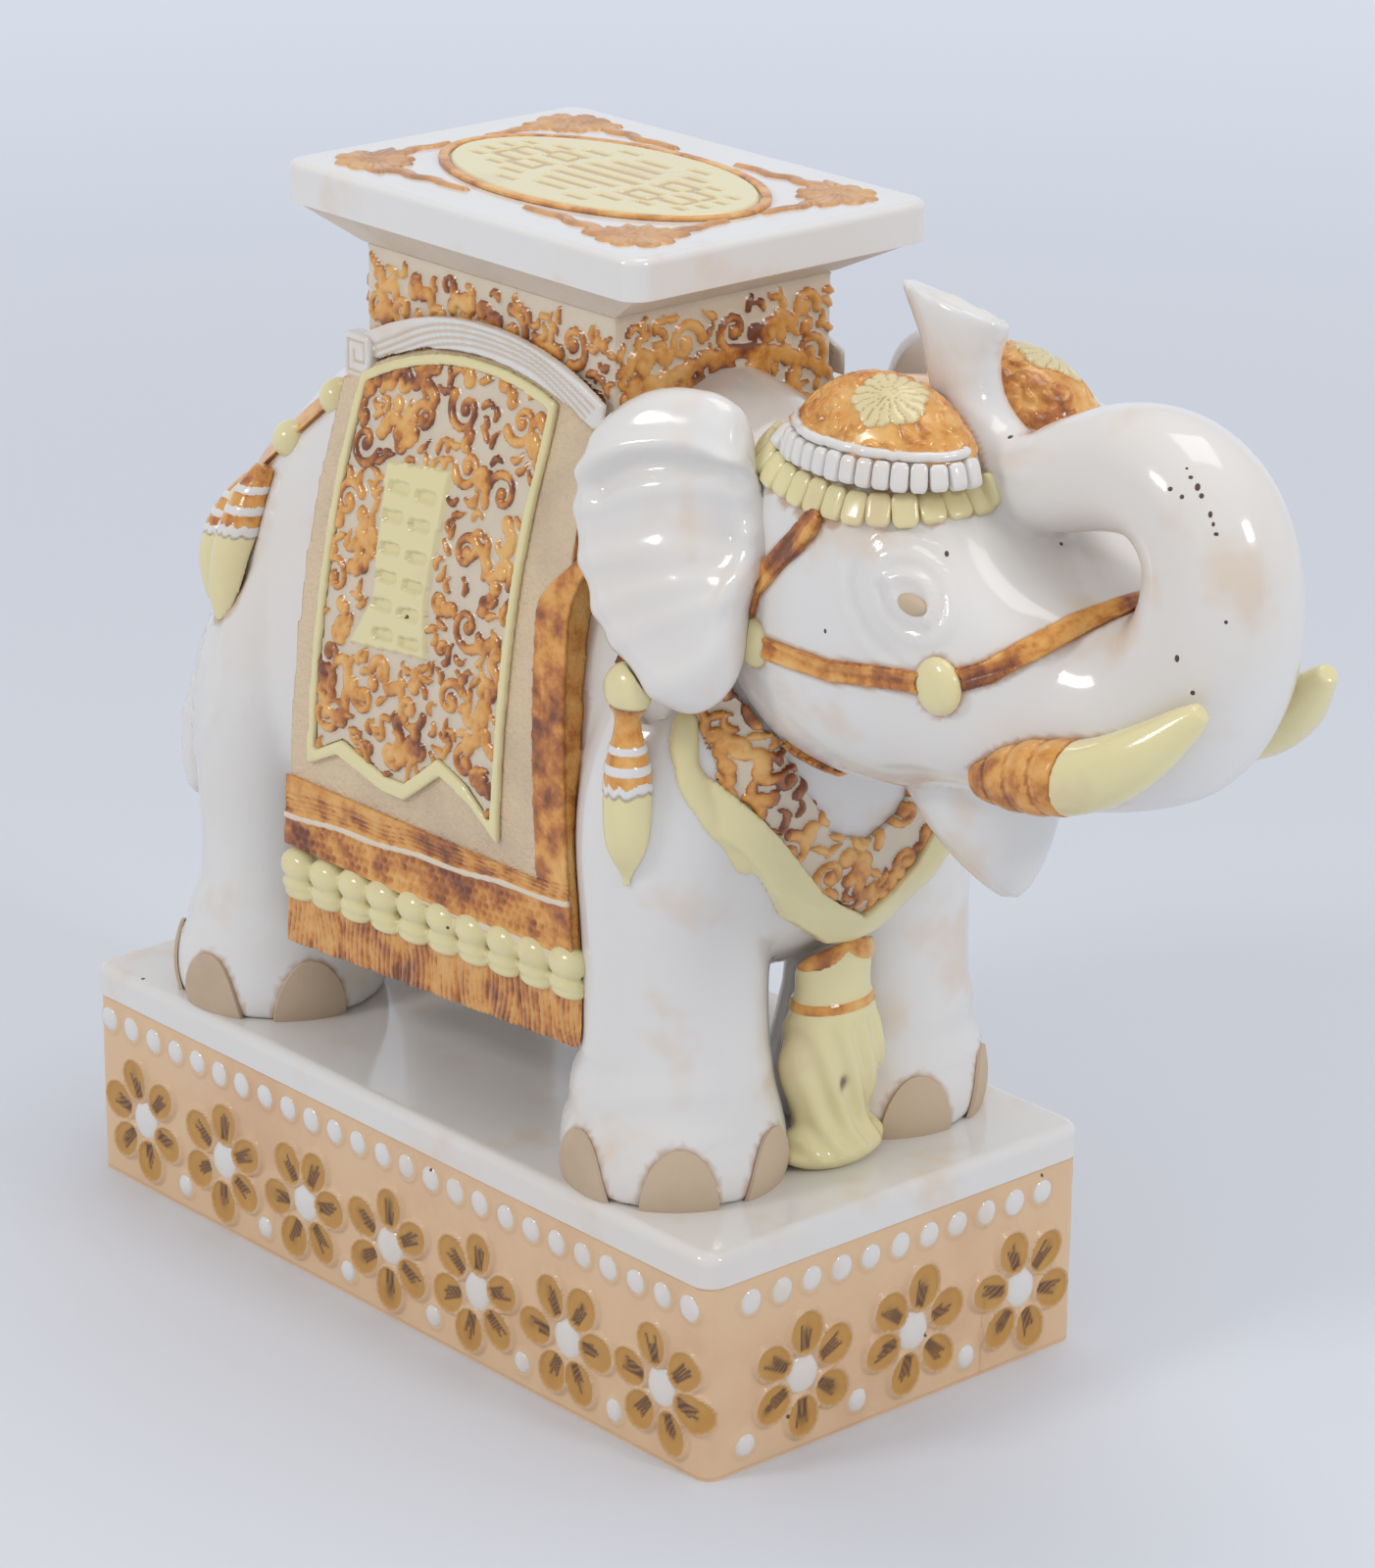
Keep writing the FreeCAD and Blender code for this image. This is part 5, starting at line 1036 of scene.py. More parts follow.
panel_glaze = glaze("panel_glaze", panel_colour, roughness=0.22, coat=0.3, bump=0.2)
both_flanks("cloth_panel", pressed(melted("scroll_panel_right", 0.0009, 1), draw_cloth_panel), panel_glaze,
            "scroll_panel")


def draw_frame(points, normals):
    return {"lift": np.full(len(points), 0.25)}


both_flanks("cloth_frame", pressed(melted("cloth_frame_right", 0.0009, 8), draw_frame), yellow_glaze,
            "cloth_frame")

# %% [markdown]
# The pillar is a block with the same curls on its four faces. Its two ends have a band that arches over the
# neck and the rump.

# %% Seat pillar: a block with curls on its four faces
pillar_low, pillar_high = mm_box("seat_pillar")
PILLAR_TALL, FOOT_LEVEL, FOOT_HALF, FOOT_ARCH = 72, 394, 3.2, 15.0


def pillar_strokes(half, seed):
    top, low = pillar_high[2], pillar_high[2] - PILLAR_TALL
    outline = [(-half + 2, low), (half - 2, low), (half - 2, top - 3), (-half + 2, top - 3)]
    return foliage(within(outline), (-half, half, low, top), (10.5, 8.2, 6.2, 4.8), random.Random(seed),
                   2.25, tries=300, leaves=1300)


def draw_pillar(points, normals):
    x, y, z = points.T
    middle = (pillar_high[0] + pillar_low[0]) / 2
    level = np.abs(normals[:, 2]) < 0.5
    side = (np.abs(normals[:, 1]) > np.abs(normals[:, 0])) & level
    end = level & ~side
    along = (x - middle) * np.sign(-y)
    relief = np.zeros(len(points))
    long_half, wide_half = ((pillar_high[axis] - pillar_low[axis]) / 2 for axis in (0, 1))
    relief[side] = stroke_height(np.column_stack([along, z])[side], pillar_strokes(long_half, 21))
    relief[end] = stroke_height(points[end][:, [1, 2]], pillar_strokes(wide_half, 22))
    foot = blend_step(FOOT_HALF - np.abs(z - FOOT_LEVEL + FOOT_ARCH * (y / 50) ** 2), 0, 1)
    relief[end] = np.maximum(relief[end], foot[end])
    return {"lift": np.where(level, 1.9 * relief - 1.1, 0), "relief": relief}


piece("pillar_scrolls", pressed(soft_block(pillar_low, pillar_high, 0.0025, 0.0012), draw_pillar),
      scroll_glaze, ["seat_pillar"])

# %% [markdown]
# The arch over the cloth is a rounded moulding with lines pressed along it, and it ends behind in a squared
# fret.

# %% Arch mouldings with pressed lines
ARCH_OUTER = [(-57, 378), (-42, 384), (-17, 396), (4, 400.5), (24, 401), (42, 400), (58, 396), (72, 391),
              (86, 385)]
ARCH_INNER = [(-36, 373), (-20, 381), (-5, 387), (9, 390), (24, 391), (40, 390), (52, 388), (64, 382),
              (75, 375)]
ARCH_HOOK = [(-54, 373), (-54, 381), (-44, 381), (-44, 375), (-50, 375), (-50, 378)]


def draw_arch(points, normals):
    outer, inner = along_line(ARCH_OUTER, 60), along_line(ARCH_INNER, 60)
    flat = points[:, [0, 2]]
    lines = [(outer * (1 - share) + inner * share, np.full(60, 0.75)) for share in (0.2, 0.42, 0.64, 0.86)]
    lines.append((along_line(ARCH_HOOK, 30), np.full(30, 0.7)))
    groove = stroke_height(flat, lines)
    return {"lift": -0.8 * groove * (normals[:, 1] < 0.2), "relief": groove}


def arch_colour(tree):
    groove = step_mask(tree, attribute(tree, "relief"), 0.2, 0.8)
    return mix(tree, scaled(tree, groove, 0.7), white_colour(tree), (0.66, 0.50, 0.33))


arch_glaze = glaze("arch_glaze", arch_colour, roughness=0.2, coat=0.3, bump=0.15)
both_flanks("arch_lines", pressed(melted("arch_moulding_right", 0.0008, 2), draw_arch), arch_glaze,
            "arch_moulding")
BLOCK_LOW, BLOCK_HIGH = (-62.0, -62.5, 365.0), (-46.0, -54.0, 383.0)
BLOCK_FRET = [(-49, 368), (-59, 368), (-59, 380), (-49, 380), (-49, 372), (-55, 372), (-55, 376)]


def draw_block(points, normals):
    fret = [(np.array([a, b], float), np.full(2, 0.7)) for a, b in zip(BLOCK_FRET, BLOCK_FRET[1:])]
    groove = stroke_height(points[:, [0, 2]], fret) * (normals[:, 1] < -0.3)
    return {"lift": -0.8 * groove, "relief": groove}


both_flanks("arch_block", pressed(soft_block(BLOCK_LOW, BLOCK_HIGH, 0.002, 0.0006), draw_block), arch_glaze)

# %% [markdown]
# The ear is a slab that was folded at its top front corner, with soft ridges that fan down and back from the
# fold.

# %% Ears with their folds
EAR_FOLD = [(109, 370), (116, 377), (129, 384), (150, 387), (167, 382), (179, 371), (181, 361), (174, 354),
            (164, 356)]
EAR_RIDGES = [
    ([(166, 370), (150, 373), (129, 366), (106, 356)], 5.0, 1.8),
    ([(168, 352), (147, 349), (126, 343), (103, 334)], 5.5, 2.0),
    ([(176, 345), (153, 338), (132, 328), (112, 317)], 5.5, 2.0),
    ([(182, 340), (162, 331), (144, 321), (128, 310)], 5.5, 1.8),
    ([(186, 330), (176, 318), (162, 305), (148, 297)], 5.5, 1.5),
    ([(168, 410), (153, 408), (135, 402), (119, 393), (110, 383)], 5.0, 1.2)]


def draw_ear(points, normals):
    flat = points[:, [0, 2]]
    outside = np.clip(-normals[:, 1] * 1.6, 0, 1)
    rise = ridge(flat, along_line(EAR_FOLD, 30), 4.6, 3.6)
    rise -= ridge(flat, along_line([(x * 0.8 + 30, z * 0.8 + 70) for x, z in EAR_FOLD], 30), 4.4, 3.4)
    for line, width, height in EAR_RIDGES:
        rise += ridge(flat, along_line(line, 16), width, height)
    return {"lift": (rise - 0.9) * outside + dents(points, 15, 30, 0.25)}


EAR_REACH, EAR_HOLLOW, EAR_ROLL, EAR_DROP = (8.0, 4.0), 7.5, 3.0, 9.0


def shaped_ear(mesh):
    """The front edge drawn forward on to the cheek, with a deep hollow behind it."""
    points, normals = read_points(mesh) / MM, read_normals(mesh)
    x, z = points[:, 0].copy(), points[:, 2].copy()
    front = blend_step(x, 138, 172) * blend_step(z, 326, 352) * blend_step(402 - z, 0, 26)
    hollow = np.exp(-((x - 160) / 11) ** 2 - ((z - 360 + (x - 160) * 0.6) / 19) ** 2) * (normals[:, 1] < 0.2)
    roll = np.exp(-((x - 122) / 20) ** 2 - ((z - 382) / 14) ** 2) * (normals[:, 1] < 0.2)
    points[:, 0] += EAR_REACH[0] * front
    points[:, 1] += EAR_REACH[1] * front + EAR_HOLLOW * hollow - EAR_ROLL * roll
    points[:, 2] -= EAR_DROP * blend_step(x, 145, 176) * blend_step(z, 375, 400)
    write_points(mesh, points * MM)
    return mesh


both_flanks("ear_fold", shaped_ear(pressed(melted("ear_right", 0.0014, 4), draw_ear)), white_glaze,
            "ear")

# %% [markdown]
# The field of the saddle cloth is beige clay, stippled all over and left without a glaze. Amber was brushed
# on where its front edge turns in.

# %% Cloth field: stippled beige, amber where its front edge turns in
def draw_field(points, normals):
    edge = blend_step(normals[:, 0], 0.3, 0.7) * (points[:, 0] > 40)
    seam = np.maximum(edge, blend_step(-normals[:, 0], 0.3, 0.7) * (points[:, 0] < -40) * 0.9)
    return {"lift": 0 * edge, "zones": np.column_stack([edge, 0 * edge, seam * 0.5])}


def field_colour(tree):
    zones = zones_of(tree)
    beige = clay_colour(FIELD, (0.62, 0.47, 0.34))(tree)
    edged = mix(tree, zones[2], beige, (0.36, 0.19, 0.09))
    return mix(tree, step_mask(tree, zones[0], 0.4, 0.6), edged, amber_colour(tree))


field_glaze = glaze("cloth_stipple", field_colour, roughness=0.42, bump=1.0, bump_from=grain(420.0),
                    relief=0.0018)
both_flanks("cloth_ground", pressed(melted("saddle_cloth_right", 0.0018, 1), draw_field), field_glaze,
            "saddle_cloth")

# %% [markdown]
# The hem of the cloth has a grooved amber band, a pale line and a brown band full of small round pits. The
# fringe below is combed clay: wavy strands in bunches, one bunch under each tassel head.

# %% Hem bands and fringe
HEM_LEVELS = [(211.0, 204.0), (200.0, 190.0), (182.0, 175.0)]
HEM_GROOVES = (0.22, 0.36, 0.50, 0.66)
PIT_COLUMNS, PIT_ROWS, PIT_STEP, PIT_RISE = 38, 4, 4.0, 3.7


def hem_level(x, ends):
    """Height of a band's edge that slopes along the hem, given at x 80 and x -60."""
    return ends[1] + (ends[0] - ends[1]) * (x + 60) / 140


def draw_border(points, normals):
    """Grooves along the amber band, a pale line, and pits over the brown band under it."""
    outside = np.clip(-normals[:, 1] * 2, 0, 1)
    x, z = points[:, 0], points[:, 2]
    wave = 0.5 * np.sin(x / 8.0)
    top, light, low = (hem_level(x, ends) + wave for ends in HEM_LEVELS)
    share = np.clip((z - light) / (top - light), -1, 2)
    groove = np.zeros(len(points))
    for level in HEM_GROOVES:
        groove = np.maximum(groove, np.clip(1 - np.abs(share - level - 0.02 * np.sin(x / 5)) / 0.05, 0, 1))
    groove = groove * (z < top + 1)
    rng = random.Random(31)
    pits = np.zeros(len(points))
    for column in range(PIT_COLUMNS):
        for row in range(PIT_ROWS):
            across = -64 + column * PIT_STEP + rng.uniform(-0.7, 0.7) + PIT_STEP / 2 * (row % 2)
            level = hem_level(across, HEM_LEVELS[2]) + 2.6 + row * PIT_RISE + rng.uniform(-0.5, 0.5)
            gap = np.hypot(x - across, z - level)
            pits = np.maximum(pits, np.clip(1.25 - gap / 1.3, 0, 1) ** 0.6)
    dots = pits * (z < light - 1.8) * (z > low)
    line = blend_step(1.5 - np.abs(z - light), 0, 0.8) * (z < top)
    lift = (-0.9 * groove - 0.9 * dots + 0.7 * line) * outside
    pale = np.maximum(line, (z < low - 1.5) * 1.0)
    dark = np.maximum(0.9 * groove, 0.35 * dots) + 0.45 * ((z < light - 1) & (z > low))
    dark += 0.35 * (x > 55) * (z > top)
    return {"lift": lift, "zones": np.column_stack([1 - pale, np.zeros(len(points)), np.clip(dark, 0, 1)])}


def hem_colour(tree):
    """Amber with darker grooves and pits, and a pale line where no amber was brushed."""
    zones = zones_of(tree)
    amber = pool(tree, calc(tree, "ADD", scaled(tree, zones[2], 0.17), 0.02))
    return mix(tree, step_mask(tree, zones[0], 0.35, 0.65), CREAM, amber)


hem_glaze = glaze("hem_glaze", hem_colour, roughness=0.3, coat=0.2, bump=0.25)
border_mesh = pressed(melted("cloth_border_right", 0.00085, 1), draw_border)
border_points = read_points(border_mesh) / MM
narrowing = 0.85 * blend_step(border_points[:, 2], 306, 343) * (border_points[:, 0] > 40)
border_points[:, 0] += narrowing * (border_points[:, 0].max() - border_points[:, 0])
write_points(border_mesh, border_points * MM)
both_flanks("cloth_hem", border_mesh, hem_glaze, "cloth_border")

cloth_face = -mm_box("saddle_cloth_right")[0][1]
tassel_low, tassel_high = (corner[0] for corner in mm_box("fringe_right"))
TASSEL_COUNT = 10
tassel_pitch = (tassel_high - tassel_low) / TASSEL_COUNT
tassel_xs = [tassel_low + tassel_pitch * (number + 0.5) for number in range(TASSEL_COUNT)]
print("tassel heads every", round(tassel_pitch, 1), "mm, cloth face at", round(cloth_face, 1))


HEAD_LUMPS = [(168.5, 7.5, 1.03, 6.4, 7.0), (160.5, 8.0, 1.0, 5.4, 3.9), (156.9, 8.0, 0.97, 4.8, 3.2)]


def tassel_row():
    """Fat bulbs, each with a flatter ring of clay under it."""
    bm = bmesh.new()
    rng = random.Random(71)
    for x in tassel_xs:
        for low, climb, share, deep, tall in HEAD_LUMPS:
            level = low + climb * (x + 60) / 140
            shift = rng.uniform(-0.5, 0.5)
            centre = Vector((x + shift, -cloth_face + 1.0, level + rng.uniform(-0.5, 0.5)))
            blob(bm, centre * MM, Vector((tassel_pitch / 2 * share, deep, tall)) * MM, Matrix(), 28, 18)
    return melted(bm, 0.00095, 2)


both_flanks("tassel_row", tassel_row(), yellow_glaze, "tassel_heads")


STRAND_STEP, BUNCH_LEAN = 2.9, 3.4


def draw_fringe(points, normals):
    """Combed strands in bunches, one bunch to a tassel head, each with its own lean."""
    outside = np.clip(-normals[:, 1] * 2, 0, 1)
    x, z = points[:, 0], points[:, 2]
    depth = np.clip((z.max() - z) / 22, 0, 1)
    which = np.argmin(np.abs(x[:, None] - np.array(tassel_xs)[None]), axis=1)
    middle = np.array(tassel_xs)[which]
    bunch = (x - middle) / (tassel_pitch / 2)
    lean = np.sin(which * 2.3) * BUNCH_LEAN * depth ** 1.4
    wander = 0.5 * np.sin(z / 6.5 + which * 1.9)
    phase = (x - middle - lean * (1 - 0.5 * bunch ** 2)) / STRAND_STEP + wander + which * 0.37
    strands = np.abs(np.sin(phase * math.pi)) ** 0.7
    deep = 0.55 + 0.45 * np.sin(which * 5.1 + np.floor(phase) * 2.7)
    return {"lift": (-1.0 * (1 - strands) * (0.45 + 0.55 * deep) - 0.9 * bunch ** 4 + 0.4) * outside,
            "relief": np.clip(strands * (0.55 + 0.45 * deep), 0, 1)}


def fringe_colour(tree):
    strand = attribute(tree, "relief")
    amber = pool(tree, scaled(tree, calc(tree, "SUBTRACT", 0.80, strand), 0.20))
    light = mix(tree, noise(tree, 45.0), (0.66, 0.34, 0.12), (0.56, 0.31, 0.17))
    return mix(tree, scaled(tree, step_mask(tree, strand, 0.35, 0.95), 0.5), amber, light)


FRINGE_CLIMB = 8.0 / 140
fringe_glaze = glaze("fringe_glaze", fringe_colour, roughness=0.33, coat=0.15, bump=0.3)
fringe_mesh = pressed(melted("fringe_right", 0.00078, 6), draw_fringe)
fringe_points = read_points(fringe_mesh)
fringe_points[:, 2] += FRINGE_CLIMB * (fringe_points[:, 0] + 0.060)
write_points(fringe_mesh, fringe_points)
both_flanks("combed_fringe", fringe_mesh, fringe_glaze, "fringe")

# %% [markdown]
# The brow cloth is two domes of scrollwork with a chrysanthemum on top of each. A dome is drawn on by laying
# its surface flat around the flower, like the map of a pole.

# %% Brow cloth
def laid_flat(points, centre, axis, radius):
    """Flat coordinates, in mm, of points on a dome around an axis."""
    axis = np.array(axis, float) / np.linalg.norm(axis)
    first = np.cross([0, 0, 1], axis)
    first = first / np.linalg.norm(first)
    second = np.cross(axis, first)
    away = points - np.array(centre)
    away = away / np.linalg.norm(away, axis=1)[:, None]
    scale = 2 * radius / (1 + np.clip(away @ axis, -0.6, 1))
    return np.column_stack([away @ first * scale, away @ second * scale])


BROW_CENTRE, BROW_AXIS, BROW_RADIUS, BROW_HEM = (206, -31, 388), (0.40, -0.33, 0.95), 27.0, 395.0


BROW_EDGE, FLOWER_EDGE, FLOWER_EYE = 44, 12.0, 2.2
ROUND_FLOWER = [(19, -7, 7), (-9, -21, 7), (-21, 7, 7), (9, -23, 6)]


def draw_brow(points, normals):
    """A chrysanthemum on top, curls round it and a plain hem."""
    flat = laid_flat(points, BROW_CENTRE, BROW_AXIS, BROW_RADIUS)
    gap, angle = np.hypot(flat[:, 0], flat[:, 1]), np.arctan2(flat[:, 1], flat[:, 0])
    wobble = FLOWER_EDGE + 0.9 * np.sin(angle * 5) + 0.9 * np.abs(np.sin(angle * 8))
    flower = gap < wobble
    petals = np.abs(np.sin(angle * 8 + 0.25 * np.sin(gap))) ** 0.6
    rng = random.Random(41)
    box = (-BROW_EDGE, BROW_EDGE, -BROW_EDGE, BROW_EDGE)
    strokes = foliage(lambda x, z, m: math.hypot(x, z) > FLOWER_EDGE - 1 + m, box, (5.6, 4.4), rng, 2.0,
                      ROUND_FLOWER, tries=250, leaves=320)
    relief = stroke_height(flat, strokes)
    hem = blend_step(BROW_HEM + 0.8 * np.sin(points[:, 0] / 4) - points[:, 2], 0, 1.2)
    lift = np.where(flower, 0.7 * petals * (gap > FLOWER_EYE) + 0.5 * (gap <= FLOWER_EYE), 1.1 * relief - 0.5)
    lift = lift * (1 - hem) - 0.8 * hem
    zones = np.column_stack([~flower, hem, np.where(flower, (petals < 0.35) * 0.9, 0)])
    return {"lift": lift, "relief": np.where(flower, 0.5, relief * 0.75 + 0.1), "zones": zones}


def brow_colour(tree):
    zones = zones_of(tree)
    amber = pool(tree, scaled(tree, calc(tree, "SUBTRACT", attribute(tree, "relief"), 0.45), 0.12))
    flower = mix(tree, zones[2], (0.74, 0.62, 0.34), (0.50, 0.30, 0.12))
    dressed = mix(tree, step_mask(tree, zones[0], 0.35, 0.65), flower, amber)
    return mix(tree, step_mask(tree, zones[1], 0.35, 0.65), dressed, (0.74, 0.62, 0.50))


brow_glaze = glaze("brow_glaze", brow_colour, roughness=0.2, coat=0.3, bump=0.2)
both_flanks("brow_scrolls", pressed(melted("brow_cloth_right", 0.0007, 2), draw_brow), brow_glaze,
            "brow_cloth")

# %% [markdown]
# Under the domes a white cord is rolled on, then a row of upright white beads and a row of yellow scallops.
# Each is a pad of clay pressed on the head, so each is set square to the head's surface.

# %% Cord, beads and scallops under the brow
head_tree, brow_tree = tree_of("elephant_head"), tree_of("brow_scrolls_right")


def brow_rim(level, start, end):
    """Points on the side of the brow cloth at one level, from one angle round to another."""
    middle = Vector((BROW_CENTRE[0], BROW_CENTRE[1], level)) * MM
    line = []
    for turn in np.radians(np.linspace(start, end, 50)):
        way = Vector((math.cos(turn), math.sin(turn), 0))
        place = brow_tree.ray_cast(middle + way * 0.09, -way, 0.09)[0]
        if place is not None:
            line.append([value / MM for value in place])
    return line


def pad(bm, centre, along, out, size):
    """A pillow of clay: size is its length along, its height and how far it stands out."""
    out = Vector(out).normalized()
    along = Vector(along)
    along = (along - out * along.dot(out)).normalized()
    turn = Matrix((along, out.cross(along), out)).transposed().to_4x4()
    stretch = Matrix.Diagonal([value * MM / 2 for value in size] + [1.0])
    pillow = bmesh.new()
    bmesh.ops.create_cube(pillow, size=2.0)
    bmesh.ops.bevel(pillow, geom=pillow.edges[:], offset=0.55, segments=4, profile=0.5, affect="EDGES",
                    material=-1)
    place = Matrix.Translation(Vector(centre) * MM) @ turn @ stretch
    bmesh.ops.transform(pillow, matrix=place, verts=pillow.verts)
    bm.from_mesh(as_mesh("pillow", pillow))


def pads_on(tree, line, count, size, sink, seed):
    rng = random.Random(seed)
    bm = bmesh.new()
    curve = along_line(line, count)
    for number, spot in enumerate(curve):
        place, out, _, _ = tree.find_nearest(Vector(spot) * MM)
        before, after = curve[max(number - 1, 0)], curve[min(number + 1, count - 1)]
        grow = [value * rng.uniform(0.93, 1.05) for value in size]
        pad(bm, place / MM + out * (size[2] / 2 - sink), after - before, out, grow)
    return bm


SCALLOP_LINE = [(164, -53, 383), (175, -57, 380), (190, -60, 378), (209, -60, 377), (226, -56, 377),
                (238, -44, 378), (243, -28, 379), (245, -12, 380)]
STRIP_LINE = [(141, -44, 400), (146, -46, 395), (151, -47, 390), (157, -49, 385)]
both_flanks("brow_beads", pads_on(brow_tree, brow_rim(389.5, 205, 364), 15, (6.3, 10.2, 5.4), 1.8, 81),
            white_glaze, "brow_pearls")
both_flanks("brow_scallop_row", pads_on(head_tree, SCALLOP_LINE, 13, (9.4, 12.6, 4.6), 1.6, 82), yellow_glaze,
            "brow_scallops")
both_flanks("ear_strip_beads", pads_on(head_tree, STRIP_LINE, 4, (7.6, 7.6, 4.0), 1.4, 83), yellow_glaze)


def rolled_cord(line, radius):
    """A round cord that follows a line on the head."""
    curve = bpy.data.curves.new("cord", "CURVE")
    curve.dimensions = "3D"
    curve.bevel_depth = radius * MM
    curve.bevel_resolution = 3
    curve.use_fill_caps = True
    spline = curve.splines.new("POLY")
    places = along_line(line, 40)
    spline.points.add(len(places) - 1)
    for point, spot in zip(spline.points, places):
        place, out, _, _ = brow_tree.find_nearest(Vector(spot) * MM)
        point.co = (*(place + out * radius * 0.3 * MM), 1.0)
    thing = bpy.data.objects.new("cord", curve)
    bpy.context.scene.collection.objects.link(thing)
    return settled(thing)


both_flanks("brow_cord", rolled_cord(brow_rim(396.5, 195, 366), 1.9), white_glaze)

# %% [markdown]
# Where a bubble burst in the firing, the glaze has a small dark pit. They lie where the photograph shows
# them.

# %% Pits in the glaze
PIT_PIXELS = [(1211, 478), (1215, 487), (1222, 497), (1226, 506), (1194, 499), (1206, 507), (1235, 525),
              (1238, 535), (1241, 545), (1031, 446), (1083, 555), (966, 565), (842, 644), (1201, 672),
              (1217, 707), (1251, 635)]


def glaze_pits():
    """Small dark pits where a bubble burst, flat against the surface."""
    rng = random.Random(91)
    bm = bmesh.new()
    for column, row in PIT_PIXELS:
        place, out = seen(head_tree, column, row)
        size = rng.uniform(0.5, 1.0) * MM
        turn = out.to_track_quat("Z", "Y").to_matrix().to_4x4()
        blob(bm, place, (size, size * rng.uniform(0.7, 1.6), size * 0.3), turn, 10, 6)
    return bm


pit_clay = glaze("pit_clay", (0.09, 0.05, 0.035), 0.5)
piece("glaze_pits", glaze_pits(), pit_clay)

# %% [markdown]
# The chest collar hangs round the front of the chest. It is unrolled about an upright line inside the chest,
# so the curls keep their size where it turns.

# %% Chest collar, its wavy border and the tassel on the chest
COLLAR_AXIS_X, COLLAR_RADIUS = 80.0, 78.0


def unrolled_chest(points):
    return COLLAR_RADIUS * np.arctan2(points[:, 1], points[:, 0] - COLLAR_AXIS_X)


def anywhere(x, z, margin):
    return True


def draw_collar(points, normals):
    flat = np.column_stack([unrolled_chest(points), points[:, 2]])
    low, high = flat.min(0), flat.max(0)
    strokes = foliage(anywhere, (low[0], high[0], low[1], high[1]), (9.0, 7.2, 5.6, 4.6), random.Random(51),
                      2.2, tries=420, leaves=1800)
    relief = stroke_height(flat, strokes)
    outside = np.clip(1.5 * (normals[:, 0] * (points[:, 0] - 60) / 90 + np.abs(normals[:, 1])), 0, 1)
    return {"lift": (1.8 * relief - 0.9) * outside, "relief": relief}


piece("collar_scrolls", pressed(melted("chest_collar", 0.0009, 1), draw_collar), scroll_glaze,
      ["chest_collar"])


def draw_collar_border(points, normals):
    along = unrolled_chest(points)
    folds = np.sin(along / 5.5 + 1.2 * np.sin(points[:, 2] / 14)) * 0.35
    return {"lift": 0.3 + folds + dents(points, 55, 18, 0.3)}


BORDER_END_PIXELS = [(700, 738), (697, 765), (704, 795), (722, 826), (746, 852), (762, 880)]


def border_with_ends():
    """The yellow border, lengthened on the shoulder up to the ear, and melted into one strip."""
    body_tree = tree_of("elephant_body", "collar_scrolls")
    strip = merged("collar_border")
    for number, (column, row) in enumerate(along_line(BORDER_END_PIXELS, 26)):
        place, out = seen(body_tree, column, row)
        half = 4.6 + 0.9 * abs(math.sin(number * 0.45))
        for side in (1, -1):
            turn = Vector((out.x, out.y * side, out.z)).to_track_quat("Z", "Y").to_matrix().to_4x4()
            blob(strip, (place.x, place.y * side, place.z), Vector((half, half, 2.2)) * MM, turn, 20, 12)
    return melted(strip, 0.001, 7)


piece("collar_wavy_border", pressed(border_with_ends(), draw_collar_border), yellow_glaze,
      ["collar_border"])

# %% [markdown]
# The tusks are smooth yellow horns. The tassels are one lump each, and their bands and rings are only drawn
# on them and glazed in other colours. The chest tassel stands on the slab, and helps to carry the head.

# %% Tusks and tassels
def draw_tusk(points, normals):
    return {"lift": dents(points, 57, 22, 0.25)}


both_flanks("tusk_smooth", pressed(melted("tusk_right", 0.001, 6), draw_tusk), yellow_glaze,
            "tusk")


SWAG_EDGE, SWAG_TOP, RING_LEVEL = 181, 192, 157.5
FLUTES, FLUTE_WIDTH, CHIP = (94, 154), 10, (-6, 128)


def draw_tassel(points, normals):
    """An amber swag and ring, leaning flutes under them, and one chip in the glaze."""
    y, z = points[:, 1], points[:, 2]
    turn = np.arctan2(y, np.clip(points[:, 0] - 140, 1, None))
    lobes = SWAG_EDGE - 7.5 * np.abs(np.sin(turn * 1.9 + 0.25)) ** 0.7
    swag = blend_step(1.2 - np.maximum(lobes - z, z - SWAG_TOP), 0, 1.2)
    ring = blend_step(1.2 - np.abs(z - RING_LEVEL) * 0.5, 0, 0.5)
    flutes = np.sin((y + (z - 100) * 0.34 + 3 * np.sin(z / 17)) * 2 * math.pi / FLUTE_WIDTH)
    flutes = flutes * blend_step(z - FLUTES[0], 0, 10) * blend_step(FLUTES[1] - z, 0, 6)
    chip = np.exp(-(((y - CHIP[0]) / 1.6) ** 2 + ((z - CHIP[1]) / 2.6) ** 2))
    amber = np.maximum(swag, ring)
    return {"lift": 0.9 * amber + 0.9 * flutes - 0.8 * chip,
            "zones": np.column_stack([amber, np.zeros(len(points)), np.clip(1.4 * chip, 0, 0.9)])}


def dressed_colour(tree):
    """Yellow glaze with amber bands, white bands and dark lines where the zones say so."""
    zones = zones_of(tree)
    base = mix(tree, step_mask(tree, zones[0], 0.4, 0.6), yellow_colour(tree), amber_colour(tree))
    base = mix(tree, step_mask(tree, zones[1], 0.4, 0.6), base, white_colour(tree))
    return mix(tree, zones[2], base, (0.16, 0.08, 0.04))


dressed_glaze = glaze("dressed_glaze", dressed_colour, roughness=0.17, coat=0.3, bump=0.16)
piece("chest_swag_tassel", pressed(melted("chest_tassel", 0.0011, 3), draw_tassel), dressed_glaze,
      ["chest_tassel"])


